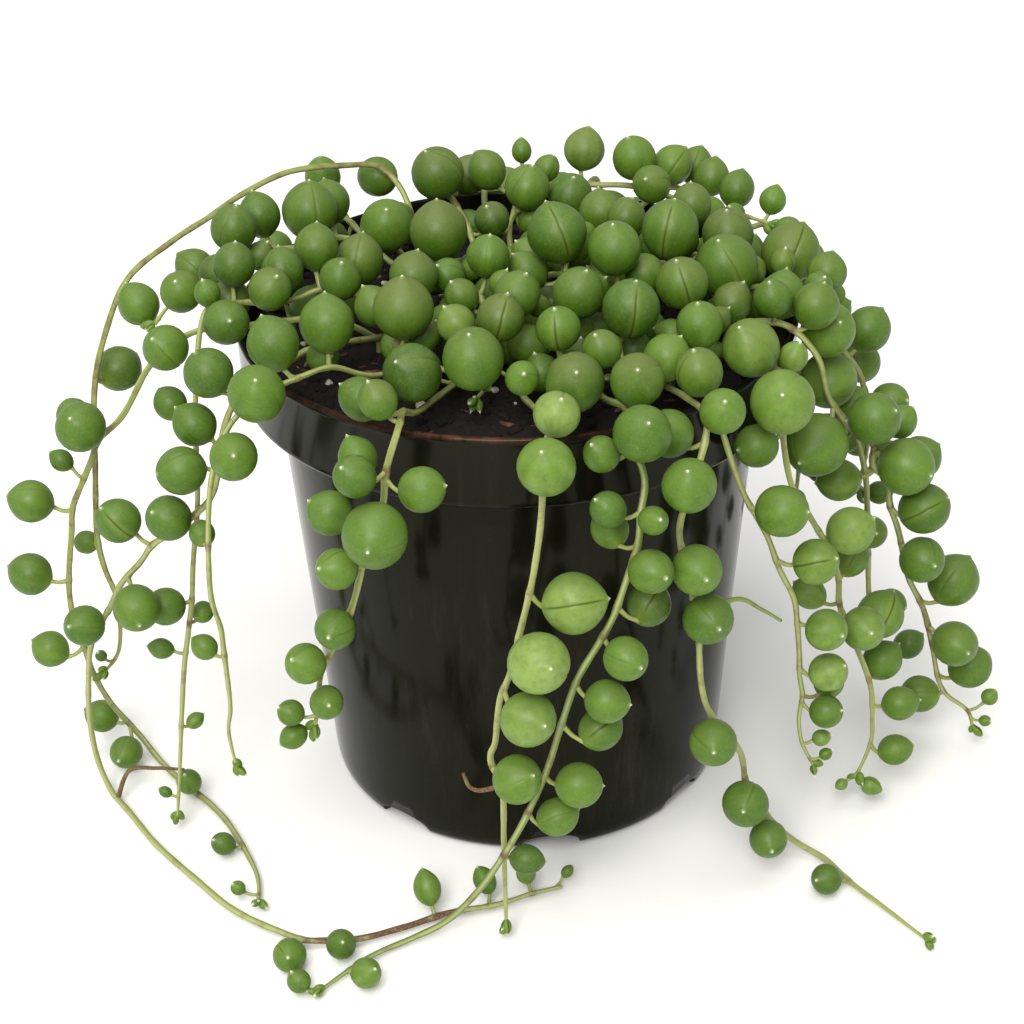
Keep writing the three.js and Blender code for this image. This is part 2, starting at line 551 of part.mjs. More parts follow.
function tube(path, steps, radius, sides) {
  const outline = [];
  for (let i = 0; i < sides; i += 1) {
    const angle = (Math.PI * 2 * i) / sides;
    outline.push(new THREE.Vector2(radius * Math.cos(angle), radius * Math.sin(angle)));
  }
  const options = { steps, bevelEnabled: false, extrudePath: path };
  return toSolid(new THREE.ExtrudeGeometry(new THREE.Shape(outline), options));
}

function leafSolid(centre, radius, root) {
  // A ball whose point nearest the stem is drawn out to the stem, as the short stalk.
  const small = radius * 2 < SMALL_LEAF;
  const ball = small ? new THREE.OctahedronGeometry(radius, 0) : new THREE.IcosahedronGeometry(radius, 0);
  const corner = new THREE.Vector3().fromBufferAttribute(ball.attributes.position, 0);
  const toRoot = root.clone().sub(centre);
  const turn = new THREE.Quaternion().setFromUnitVectors(corner.clone().normalize(), toRoot.clone().normalize());
  const position = ball.attributes.position;
  for (let i = 0; i < position.count; i += 1) {
    const p = new THREE.Vector3().fromBufferAttribute(position, i);
    if (p.distanceTo(corner) < 0.01) p.setLength(toRoot.length());
    p.applyQuaternion(turn).add(centre);
    position.setXYZ(i, p.x, p.y, p.z);
  }
  return toSolid(ball);
}

function makeStrand(plant) {
  const path = new THREE.CatmullRomCurve3(plant.chain.map((ball) => ball.at));
  const steps = Math.round(plant.chain.length / TUBE_EVERY);
  const line = path.getSpacedPoints(steps);
  let solid = tube(path, steps, STEM_RADIUS, STEM_SIDES);
  for (const leaf of plant.leaves) {
    solid = solid.add(leafSolid(leaf.at, leaf.radius, nearestOnLine(line, leaf.at)));
  }
  for (const twig of plant.twigs) {
    const points = [nearestOnLine(line, vec(twig[0])), ...twig.map(vec)];
    solid = solid.add(tube(new THREE.CatmullRomCurve3(points), twig.length, TWIG_RADIUS, TWIG_SIDES));
  }
  return toMesh(solid, plant.name, LEAF);
}

// ---------------------------------------------------------------- the plant in its pot
const plant = new THREE.Group();
plant.add(makePot());
plant.add(makeSoil());
for (const strand of growPlants()) plant.add(makeStrand(strand));

export default plant;
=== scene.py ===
# %% [markdown]
# A string of pearls in its nursery pot. The plant trails: every stem starts in the peat, crosses the
# rim and hangs, and along it sit fleshy round leaves, each on a short stalk. The pot, the peat and
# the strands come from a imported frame, so each one here is built where that frame has its plain
# solid and takes that solid's place. Lengths in the tables are millimetres, and MM turns them to
# metres.

import json
import math
import random

import bmesh
import bpy
import numpy as np
from mathutils import Matrix, Vector, noise

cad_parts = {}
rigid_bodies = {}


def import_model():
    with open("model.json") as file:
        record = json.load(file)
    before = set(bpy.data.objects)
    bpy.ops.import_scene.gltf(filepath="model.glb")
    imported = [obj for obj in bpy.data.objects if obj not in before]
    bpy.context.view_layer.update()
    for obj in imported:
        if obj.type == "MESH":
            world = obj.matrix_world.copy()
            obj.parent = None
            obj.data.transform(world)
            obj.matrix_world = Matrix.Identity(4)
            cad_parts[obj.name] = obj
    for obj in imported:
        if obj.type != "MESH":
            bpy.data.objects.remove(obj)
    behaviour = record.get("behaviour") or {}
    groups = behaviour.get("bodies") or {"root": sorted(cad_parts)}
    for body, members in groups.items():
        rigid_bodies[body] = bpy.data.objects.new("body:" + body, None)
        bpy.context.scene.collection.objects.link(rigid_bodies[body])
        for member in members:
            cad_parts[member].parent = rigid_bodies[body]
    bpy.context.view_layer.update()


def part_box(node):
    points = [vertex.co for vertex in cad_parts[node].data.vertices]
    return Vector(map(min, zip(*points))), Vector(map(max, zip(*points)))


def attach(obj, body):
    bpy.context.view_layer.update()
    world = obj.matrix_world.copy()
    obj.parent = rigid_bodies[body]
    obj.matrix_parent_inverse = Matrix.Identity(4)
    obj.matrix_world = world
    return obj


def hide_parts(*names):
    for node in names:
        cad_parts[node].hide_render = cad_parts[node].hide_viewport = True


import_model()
MM = 0.001
scene = bpy.context.scene
scene.view_settings.view_transform = "Standard"

# %% [markdown]
# The camera stands a little above the plant and looks down at it by about thirty degrees, through a
# portrait lens, so the round top of the pot shows as a flat oval. It is tipped by a degree and a half
# about its own axis, because the hand that held it wasn't quite level.

# %% Camera
LENS_MM = 81.2
CAMERA_PLACE = (-1.9 * MM, -400 * MM, 297 * MM)
LOOK_DOWN = 31.2
HAND_TILT = -1.46
camera_data = bpy.data.cameras.new("plant_camera")
camera_data.lens = LENS_MM
camera_data.sensor_width = 36
camera = bpy.data.objects.new("plant_camera", camera_data)
scene.collection.objects.link(camera)
tip_down = Matrix.Rotation(math.radians(90 - LOOK_DOWN), 4, "X")
tilt = Matrix.Rotation(math.radians(HAND_TILT), 4, "Z")
camera.matrix_world = Matrix.Translation(CAMERA_PLACE) @ tip_down @ tilt
camera_data.clip_start = 0.01
scene.camera = camera
print("camera at", [round(v, 3) for v in camera.matrix_world.translation])

# %% [markdown]
# Materials are node trees. Two small helpers keep them readable: one turns an sRGB hex colour, the
# kind that a paint chart gives, into the linear numbers that a shader wants, and one adds a node with
# its settings and its links in one go. A link may be a number, a hex colour, a node or one socket.

# %% Material helpers
def linear(hex_colour):
    """An sRGB hex colour as linear RGBA."""
    parts = [int(hex_colour[i : i + 2], 16) / 255 for i in (1, 3, 5)]
    return [p / 12.92 if p <= 0.04045 else ((p + 0.055) / 1.055) ** 2.4 for p in parts] + [1.0]


def add_node(tree, kind, settings=None, **inputs):
    """Adds one node. Where a node has several inputs of one name, name_2 is the second of them."""
    node = tree.nodes.new("ShaderNode" + kind)
    for name, value in (settings or {}).items():
        if name != "stops":
            setattr(node, name, value)
            continue
        elements = node.color_ramp.elements
        while len(elements) < len(value):
            elements.new(1.0)
        for element, (position, colour) in zip(elements, value):
            element.position = position
            element.color = linear(colour)
    for name, value in inputs.items():
        name, number = (name[:-2], int(name[-1])) if name[-1].isdigit() else (name, 1)
        alike = [s for s in node.inputs if s.enabled and s.name == name.replace("_", " ")]
        socket = alike[number - 1]
        if isinstance(value, bpy.types.Node):
            value = next(s for s in value.outputs if s.enabled)
        if isinstance(value, bpy.types.NodeSocket):
            tree.links.new(value, socket)
        else:
            socket.default_value = linear(value) if isinstance(value, str) else value
    return node


def start_material(name):
    """A material with an empty node tree."""
    material = bpy.data.materials.new(name)
    material.use_nodes = True
    material.node_tree.nodes.clear()
    return material, material.node_tree


print("leaf green #547420 is", [round(c, 3) for c in linear("#547420")], "in linear numbers")

# %% [markdown]
# The strands. Each one is a route for its stem and the places of its leaves, the same tables that the
# plain solids were made from. A route's points are x, y, z; a leaf's are x, y, z and its diameter. A
# row spreads leaves evenly along the stem: where it starts and ends, the spacing, and the diameters
# of its first and last leaf. A twig is a side shoot with no leaves.

# %% Strand tables
STRANDS = [
  {
    "name": "strand_left_arch",
    "route": [[-20, 30, 99.5], [-22, 37, 108], [-27, 41, 113], [-34, 38, 115], [-45, 33, 116],
      [-54, 27, 114], [-60, 21, 112], [-67, 14, 110], [-75, 6, 106], [-80, 2, 96], [-83, 0, 85],
      [-84, -4, 70], [-85, -6, 56], [-84, -8, 49], [-82, -9, 41], [-83, -10, 30], [-87, -12, 26]],
    "leaves": [[-28, 46, 109, 8.5], [-79, 7, 86, 9], [-88, -3, 52, 5], [-86, -13, 31, 2.5]],
  },
  {
    "name": "strand_left_top",
    "route": [[-18, 16, 99.5], [-25, 18, 106], [-37, 15, 108], [-46, 10, 108], [-53, 4, 109],
      [-59, -3, 108], [-65, -8, 107], [-68, -10, 104]],
    "leaves": [[-24, 8, 116, 10.5], [-37, 24, 115, 8.5], [-42, 14, 116, 11], [-48, 16, 116, 8.5],
      [-53, 2, 119, 9], [-60, 2, 109, 7.5], [-62, -13, 112, 8], [-71, -6, 106, 8]],
  },
  {
    "name": "strand_left_middle",
    "route": [[-22, 0, 99.5], [-28, -5, 106], [-37, -10, 109], [-44, -14, 110], [-50, -18, 112],
      [-56, -20, 112], [-58, -22, 108], [-59, -24, 101], [-60, -26, 90], [-61, -26, 75], [-63, -26, 62],
      [-65, -27, 48], [-67, -28, 37], [-69, -29, 21], [-71, -32, 4]],
    "leaves": [[-31, -2, 113, 9.5], [-32, -14, 114, 8], [-37, -5, 117, 8.5], [-42, -11, 115, 8],
      [-51, -16, 118, 8], [-47, -19, 114, 8], [-53, -24, 112, 8.5], [-65, -21, 93, 6.5],
      [-67, -29, 54, 7.5], [-63, -22, 47, 4.5], [-71, -27, 42, 4.5], [-67, -27, 24, 3.5],
      [-73, -30, 9, 2.5]],
  },
  {
    "name": "strand_left_outer",
    "route": [[-26, -10, 99.5], [-34, -14, 106], [-43, -16, 107], [-51, -18, 107], [-60, -18, 106],
      [-68, -18, 100], [-74, -18, 90], [-80, -18, 82], [-85, -18, 72], [-88, -18, 60], [-90, -16, 46],
      [-89, -13, 32], [-87, -9, 18], [-82, -4, 4], [-77, -10, 1.4], [-71, -18, 1.4], [-65, -25, 1.4],
      [-60, -33, 1.4], [-54, -47, 1.4], [-53, -56, 1.4]],
    "leaves": [[-63, -24, 106, 8.5], [-82, -22, 89, 9.5], [-86, -12, 87, 7], [-88, -15, 78, 4.5],
      [-95, -18, 71, 8.5], [-97, -16, 53, 8.5], [-96, -13, 33, 7.5], [-90, -2, 8, 7], [-84, -11, 5, 7],
      [-69, -22, 4, 5.5], [-61, -40, 3.5, 5], [-57, -53, 3, 3]],
  },
  {
    "name": "strand_left_floor",
    "route": [[-22, -8, 99.5], [-30, -17, 103], [-38, -24, 105], [-43, -31, 105], [-49, -35, 104],
      [-53, -38, 97], [-56, -38, 84], [-61, -36, 77], [-67, -34, 71], [-76, -30, 60], [-80, -27, 52],
      [-85, -24, 42], [-87, -22, 33], [-89, -18, 19], [-89, -16, 7], [-86, -20, 1.4], [-82, -26, 1.4],
      [-75, -37, 1.4], [-66, -48, 1.4], [-57, -58, 1.4], [-46, -65, 1.4], [-35, -67, 1.4],
      [-25, -64, 1.4], [-16, -60, 1.4], [-7, -58, 1.4], [0, -55, 1.4], [6, -53, 1.4]],
    "leaves": [[-54, -36, 106, 9], [-59, -33, 95, 8], [-61, -41, 90, 9], [-76, -33, 76, 8.5],
      [-64, -41, 80, 8.5], [-72, -35, 57, 9], [-83, -30, 51, 8], [-46, -75, 4, 6.5], [-36, -71, 4, 6],
      [-20, -58, 6, 6], [-9, -55, 5, 5], [-1, -52, 4, 4], [7, -51, 3, 2.5]],
    "twigs": [[[-82, -20, 7], [-76, -22, 9], [-70, -24, 10]]],
  },
  {
    "name": "strand_left_inner",
    "route": [[-16, -18, 99.5], [-26, -30, 102.5], [-33, -35, 107], [-38, -40, 108], [-44, -46, 108],
      [-50, -49, 104], [-54, -50, 95], [-56, -49, 83], [-57, -48, 68], [-56, -47, 60], [-56, -46, 54],
      [-56, -45, 41], [-57, -44, 34], [-56, -45, 26]],
    "leaves": [[-34, -32, 114, 10], [-43, -37, 113, 9.5], [-45, -52, 111, 10], [-50, -54, 101, 8.5],
      [-58, -45, 79, 5], [-60, -43, 53, 5]],
  },
  {
    "name": "strand_front_left",
    "route": [[-9, -24, 99.5], [-14, -36, 101.5], [-18, -46, 103.5], [-20, -53, 107], [-21, -60, 107],
      [-23, -62, 101], [-24, -62, 94], [-27, -61, 86], [-30, -60, 74], [-33, -59, 66], [-37, -58, 57],
      [-38, -58, 50], [-39, -58, 45]],
    "leaves": [[-28, -48, 108, 8], [-24, -57, 112, 7], [-28, -67, 103, 7.5], [-17, -65, 99, 8],
      [-28, -57, 101, 7], [-25, -69, 93, 11.5], [-34, -58, 91, 8], [-32, -64, 83, 7.5],
      [-33, -64, 71, 7.5], [-39, -62, 62, 7.5], [-36, -63, 54, 6.5], [-43, -59, 49, 5],
      [-43, -58, 43, 5]],
  },
  {
    "name": "strand_front_one",
    "route": [[1, -26, 99.5], [1, -38, 101.5], [5, -53, 104.2], [4, -59, 103], [3, -64, 92], [2, -64, 84],
      [1, -64, 78], [-1, -64, 69], [-3, -64, 60], [-5, -64, 54], [-6, -64, 45], [-7, -64, 41],
      [-5, -64, 34], [-5, -64, 22], [-5, -64, 13], [-5, -66, 3]],
    "leaves": [[6, -60, 110, 8], [4, -69, 105, 10], [9, -65, 75, 11], [2, -71, 67, 11], [0, -71, 55, 10],
      [-2, -70, 41, 9]],
    "twigs": [[[-9, -64, 34], [-11, -64, 35], [-12, -64, 38]]],
  },
  {
    "name": "strand_front_two",
    "route": [[12, -22, 99.5], [13, -34, 101.5], [15, -44, 104], [18, -51, 106], [20, -55, 103],
      [21, -58, 97], [21, -61, 92], [20, -63, 87], [17, -65, 78], [14, -66, 70], [9, -66, 60],
      [6, -66, 50], [3, -67, 40], [-2, -68, 28], [-9, -68, 15], [-16, -65, 4], [-23, -67, 1.4],
      [-31, -72, 1.4], [-40, -81, 1.4]],
    "leaves": [[20, -64, 108, 10], [12, -62, 103, 6.5], [13, -66, 95, 6.5], [15, -58, 86, 7],
      [22, -69, 94, 5.5], [22, -69, 84, 8], [22, -61, 72, 8], [17, -70, 67, 8], [14, -69, 57, 8],
      [13, -65, 48, 8], [9, -67, 37, 8.5], [5, -66, 29, 7.5], [-1, -67, 20, 6], [-31, -79, 4, 6],
      [-43, -80, 3, 4.5]],
  },
  {
    "name": "strand_front_right",
    "route": [[22, -27, 99.5], [25, -37, 103], [29, -46, 105], [32, -53, 104.5], [30, -58, 97],
      [27, -60, 87], [29, -58, 76], [31, -56, 63], [32, -54, 50], [34, -53, 42], [40, -50, 31],
      [42, -48, 21], [47, -46, 11], [52, -44, 4], [58, -47, 1.4], [62, -54, 1.4], [67, -61, 1.4],
      [74, -71, 1.4]],
    "leaves": [[26, -56, 104, 8.5], [28, -66, 99, 9.5], [29, -65, 82, 9], [32, -63, 70, 9],
      [34, -59, 40, 9], [41, -54, 22, 9], [46, -51, 11, 7.5], [57, -56, 4, 6]],
    "twigs": [[[38, -54, 68], [43, -50, 63], [47, -48, 59]]],
  },
  {
    "name": "strand_right_one",
    "route": [[28, -27, 99.5], [32, -36, 103.5], [34, -43, 105], [35, -48, 100], [39, -47, 87],
      [44, -45, 76], [47, -43, 67], [50, -42, 60], [51, -41, 54], [52, -40, 44], [52, -40, 37],
      [53, -40, 26], [56, -40, 19]],
    "leaves": [[31.5, -57, 109, 8], [30.5, -50, 110, 8.5], [45, -50, 84, 9.5], [53, -47, 71, 8.5],
      [56, -44, 54, 8], [57, -42, 43, 7.5], [60, -35, 36, 6], [57, -42, 34, 6.5], [57, -40, 26, 3.5],
      [58, -40, 22, 2.5]],
  },
  {
    "name": "strand_right_two",
    "route": [[30, -18, 99.5], [38, -25, 104], [45, -31, 104.5], [47, -35, 98], [48, -35, 88],
      [50, -34, 79], [54, -32, 71], [57, -31, 65], [60, -30, 57], [61, -30, 50], [64, -28, 41],
      [68, -28, 30], [69, -28, 21], [69, -28, 15], [66, -30, 8]],
    "leaves": [[41, -36, 108, 10.5], [45, -44, 104, 11.5], [42, -41, 92, 8], [61, -35, 70, 9],
      [63, -24, 57, 7.5], [55, -25, 50, 6.5], [64, -34, 48, 8.5], [70, -23, 43, 9.5], [71, -23, 32, 8],
      [74, -28, 25, 7], [72, -28, 14, 6.5], [68, -30, 7, 4], [64, -30, 7, 2.5]],
  },
  {
    "name": "strand_right_three",
    "route": [[34, -14, 99.5], [41, -18, 105], [49, -21, 106], [55, -22, 100], [58, -20, 90],
      [63, -18, 82], [67, -16, 74], [71, -16, 65], [74, -15, 57], [77, -13, 45], [81, -10, 36],
      [84, -8, 25], [86, -10, 16], [90, -12, 11], [93, -12, 7]],
    "leaves": [[55, -27, 84, 12], [60, -12, 67, 8.5], [66, -23, 87, 10], [73, -20, 75, 11],
      [81, -10, 73, 8.5], [76, -12, 82, 6.5], [77, -19, 65, 10], [77, -19, 54, 9], [85, -9, 40, 10.5],
      [87, -15, 30, 9.5], [92, -9, 20, 9], [84, -8, 13, 8], [98, -11, 15, 3.5], [94, -13, 9, 2.5]],
  },
  {
    "name": "strand_right_four",
    "route": [[34, -4, 99.5], [42, -6, 106], [51, -8, 107], [57, -7, 100], [59, -4, 88], [64, -2, 78],
      [69, 0, 63], [71, 2, 45], [73, 4, 26], [78, 5, 12]],
    "leaves": [[39.5, -9, 112, 12], [56.5, -16, 102, 10.5], [58.5, -12, 89, 11], [81, 5, 16, 6.5]],
    "row": [48, 110, 11, 8, 6],
  },
  {
    "name": "strand_right_top",
    "route": [[30, 8, 99.5], [38, 5, 105], [46, 0, 105], [52, -3, 105], [57, -3, 100], [62, 1, 91],
      [68, 5, 81], [71, 9, 66], [70, 12, 50]],
    "leaves": [[40.5, 3, 113.5, 10], [53, 5, 107, 11.5], [69, 6, 91, 9], [63, 7, 101, 4],
      [69, 9, 79, 8.5]],
    "row": [62, 92, 9, 7.5, 5],
  },
  {
    "name": "strand_crown_left_back",
    "route": [[-6, 14, 99.5], [-9, 22, 107], [-12, 32, 109], [-14, 44, 106], [-15, 54, 105],
      [-18, 62, 96], [-20, 64, 75], [-19, 64, 50]],
    "leaves": [[-15, 28, 117, 10.5], [-9, 41, 111, 8]],
    "row": [56, 100, 9, 10, 5],
  },
  {
    "name": "strand_crown_left",
    "route": [[-16, -14, 99.5], [-20, -19, 105], [-22, -24, 107], [-20, -32, 108], [-13, -37, 107],
      [-6, -42, 106]],
    "leaves": [[-19, -30, 114.5, 11], [-17, -46, 111, 10.5], [-6, -48, 113, 11], [-25, -17, 112, 7.5],
      [-20, -14, 117, 9]],
  },
  {
    "name": "strand_crown_back",
    "route": [[0, 14, 99.5], [0, 22, 108], [1, 32, 110], [2, 44, 107], [2, 54, 105], [3, 62, 96],
      [4, 64, 70], [4, 64, 38]],
    "leaves": [[-6, 33, 116, 8], [3, 24, 115, 9], [2, 45, 117, 4.5], [-6, 12, 115, 7], [8, 36, 115, 5.5]],
    "row": [56, 114, 8.5, 10.5, 4],
  },
  {
    "name": "strand_crown_middle",
    "route": [[-12, 5, 99.5], [-12, -2, 108], [-7, -14, 110], [-6, -24, 110], [-7, -33, 109],
      [-2, -42, 107]],
    "leaves": [[-14.5, 0, 117.5, 11], [-5, -13, 118, 8], [1, -26, 117, 8.5], [-3, -35, 116, 8.5],
      [-12, -31, 113, 7], [-1, -50, 113, 6], [-10, -22, 114, 6.5]],
  },
  {
    "name": "strand_crown_front",
    "route": [[4, 8, 99.5], [6, 0, 107], [9, -9, 111], [8, -20, 111], [7, -32, 109], [8, -42, 107]],
    "leaves": [[9, -12, 121, 11], [11, -26, 116, 9.5], [7, -38, 115, 8], [8, -50, 111.5, 10.5],
      [3, -10, 114, 7.5]],
  },
  {
    "name": "strand_crown_centre",
    "route": [[14, 12, 99.5], [16, 6, 108], [18, -6, 112], [19, -20, 111], [18, -32, 109],
      [19, -44, 107]],
    "leaves": [[16, -15, 120, 10], [20, -33, 116, 10.5], [14, -43, 113, 7], [19, -53, 112, 9.5],
      [28, -42, 111, 8.5], [17, 14, 116, 8.5], [22, 5, 118, 7.5]],
  },
  {
    "name": "strand_crown_right",
    "route": [[24, 8, 99.5], [27, 2, 108], [30, -8, 111], [31, -19, 110], [32, -30, 108], [32, -38, 105]],
    "leaves": [[28, -7, 118, 11], [30, -23, 115, 9.5], [33, -36, 112, 8.5], [23, -12, 114, 7.5],
      [40, -21, 111, 7.5]],
  },
  {
    "name": "strand_crown_back_right",
    "route": [[14, 20, 99.5], [11, 32, 105], [11, 42, 107.5], [18, 44, 106.5], [26, 43, 106],
      [33, 39, 105.5], [40, 34, 105], [46, 28, 106], [51, 22, 107]],
    "leaves": [[15, 48, 113, 8.5], [26, 38, 112, 9], [35, 44, 109, 8.5], [40, 41, 109, 7.5],
      [43, 36, 108, 7.5], [51, 25, 109, 5.5], [11, 27, 112, 9], [27, 32, 108, 8]],
  },
  {
    "name": "strand_crown_right_back",
    "route": [[26, 12, 99.5], [32, 16, 104], [40, 21, 104], [47, 26, 104.5], [53, 30, 102], [59, 32, 88],
      [61, 33, 60], [60, 33, 32]],
    "leaves": [[35, 20, 114, 8]],
    "row": [40, 114, 9, 10, 4],
  },
  {
    "name": "strand_crown_low_left",
    "route": [[-5, 10, 99.5], [-5, 2, 100.5], [-4, -8, 100.5], [-6, -18, 100.5], [-5, -28, 100.5],
      [-8, -37, 100.5]],
    "leaves": [],
    "row": [2, 42, 7, 8, 7],
  },
  {
    "name": "strand_crown_low_middle",
    "route": [[3, 22, 99.5], [7, 17, 100.5], [9, 10, 100.5], [12, 2, 100.5], [11, -8, 100.5],
      [8, -18, 100.5], [8, -28, 100.5], [7, -38, 100.5]],
    "leaves": [],
    "row": [4, 60, 7, 8, 7],
  },
  {
    "name": "strand_crown_low_right",
    "route": [[26, 23, 99.5], [25, 17, 100.5], [21, 9, 100.5], [19, 0, 100.5], [18, -10, 100.5],
      [20, -20, 100.5], [17, -31, 100.5]],
    "leaves": [],
    "row": [2, 54, 7, 8, 7],
  },
  {
    "name": "strand_crown_low_far_right",
    "route": [[36, 24, 99.5], [41, 14, 100.5], [38, 4, 100.5], [42, -8, 100.5], [41, -17, 100.5]],
    "leaves": [],
    "row": [2, 36, 7.5, 8, 7],
  },
  {
    "name": "strand_back_left",
    "route": [[-24, 22, 99.5], [-31, 30, 103.5], [-37, 39, 105], [-42, 46, 103], [-46, 51, 92],
      [-50, 55, 70], [-50, 56, 48], [-48, 57, 30]],
    "leaves": [],
    "row": [6, 104, 9.5, 8.5, 5],
  },
  {
    "name": "strand_back_right",
    "route": [[20, 30, 99.5], [25, 37, 103.5], [30, 44, 105], [36, 50, 102], [40, 55, 88], [43, 59, 62],
      [45, 58, 36], [48, 56, 14]],
    "leaves": [],
    "row": [6, 112, 9.5, 8.5, 4.5],
  },
  {
    "name": "strand_back_middle",
    "route": [[8, 26, 99.5], [11, 36, 103.5], [15, 46, 105], [18, 55, 103], [20, 61, 90], [22, 65, 66],
      [20, 66, 42]],
    "leaves": [],
    "row": [44, 80, 9, 9, 5.5],
  },
  {
    "name": "strand_back_low",
    "route": [[-6, 36, 99.5], [-6, 44, 104], [-6, 53, 105.5], [-7, 60, 99], [-9, 64, 82], [-11, 65, 52],
      [-14, 65, 24], [-18, 66, 5], [-26, 71, 1.4], [-36, 80, 1.4]],
    "leaves": [],
    "row": [32, 132, 9.5, 9.5, 4],
  },
]

print(len(STRANDS), "strands,", sum(len(s["leaves"]) for s in STRANDS), "placed leaves")

# %% [markdown]
# A stem is a smooth line through its points. A Catmull-Rom line goes through every point without
# extra handles, so the table above stays short. It is cut into equal steps, because everything that
# follows counts along the stem: the leaves in a row, the swellings and the taper.

# %% Smooth lines
STEM_RADIUS = 1.0
CHAIN_STEP = 2.0
SPAN_STEPS = 12
GOLDEN_ANGLE = 2.4
ROW_CLEARANCE = 0.8


def smooth_line(points, step):
    """Equal steps along a uniform Catmull-Rom line through the points."""
    points = np.array(points, float)
    fine = []
    for i in range(len(points) - 1):
        a, b, c, d = (points[min(max(i + k, 0), len(points) - 1)] for k in (-1, 0, 1, 2))
        for t in np.arange(SPAN_STEPS) / SPAN_STEPS:
            bend = -a + 3 * b - 3 * c + d
            lean = 2 * a - 5 * b + 4 * c - d
            fine.append(0.5 * (2 * b + (c - a) * t + lean * t**2 + bend * t**3))
    fine = np.array(fine + [points[-1]])
    run = np.concatenate([[0], np.cumsum(np.linalg.norm(np.diff(fine, axis=0), axis=1))])
    count = max(2, math.floor(run[-1] / step + 0.5))
    at = run[-1] * np.arange(count + 1) / count
    return np.stack([np.interp(at, run, fine[:, k]) for k in range(3)], axis=1)


def row_leaves(chain, row):
    """Leaves that spiral round a hanging stem by the golden angle and get smaller to its tip."""
    start, end, spacing, first, last = row
    count = int((end - start) // spacing) + 1
    leaves = []
    for i in range(count):
        k = min(len(chain) - 2, math.floor((start + i * spacing) / CHAIN_STEP + 0.5))
        along = chain[k + 1] - chain[k]
        along /= np.linalg.norm(along)
        side = np.array([along[1], -along[0], 0.001])
        side /= np.linalg.norm(side)
        other = np.cross(along, side)
        size = first + (last - first) * i / max(1, count - 1)
        turn = i * GOLDEN_ANGLE
        away = side * math.cos(turn) + other * math.sin(turn)
        leaves.append([*(chain[k] + away * (size / 2 + STEM_RADIUS + ROW_CLEARANCE)), size])
    return leaves


print("first stem has", len(smooth_line(STRANDS[0]["route"], CHAIN_STEP)), "steps of", CHAIN_STEP, "mm")

# %% [markdown]
# A real plant sorts itself out: a leaf can't be inside its neighbour, so they nudge each other aside.
# The same is done here. Stems are chains of small balls and leaves are bigger balls, and each round
# pushes apart what overlaps, keeps the leaves near their stems, and keeps all of it off the pot, the
# peat and the surface. The frame's solids were settled by the same rule, so the places agree.

# %% Settle the plant
POT_WALL = np.array([[53.3, 101.3], [53.3, 88.2], [46.3, 88.2], [39.8, 6.0], [36.8, 0.7]])
HALF_WALL, GAP = 0.7, 0.45
OWN_GAP = 0.8
STALK_REACH = 2.5
LEAF_SHARE = 0.52
SOIL_REACH, LIFT_ABOVE, SOIL_FACE = 52.6, 81.5, 98
PUSH_GAIN, PULL_GAIN, STEM_SHARE = 0.6, 0.3, 0.2
SETTLE_ROUNDS, SMOOTH_PASSES = 120, 3
WATCH_REACH = 6
FAR_AWAY = 1e9


def keep_off_pot(place, radius):
    """Moves balls out of the pot's wall, up out of the peat and up off the surface."""
    rho = np.hypot(place[:, 0], place[:, 1])
    best = np.full(len(place), FAR_AWAY)
    best_out = np.zeros((len(place), 2))
    for a, b in zip(POT_WALL[:-1], POT_WALL[1:]):
        here = np.stack([rho, place[:, 2]], axis=1)
        t = np.clip((here - a) @ (b - a) / ((b - a) @ (b - a)), 0, 1)
        out = here - (a + t[:, None] * (b - a))
        far = np.hypot(out[:, 0], out[:, 1])
        closer = far < best
        best[closer], best_out[closer] = far[closer], out[closer]
    need = radius + HALF_WALL + GAP
    push = np.where(best < need, (need - best) / best, 0)
    scale = (rho + best_out[:, 0] * push) / rho
    place[:, :2] *= scale[:, None]
    place[:, 2] += best_out[:, 1] * push
    over_soil = (rho < SOIL_REACH) & (place[:, 2] > LIFT_ABOVE)
    place[:, 2] = np.where(over_soil, np.maximum(place[:, 2], SOIL_FACE + GAP + radius), place[:, 2])
    place[:, 2] = np.maximum(place[:, 2], radius + GAP / 2)


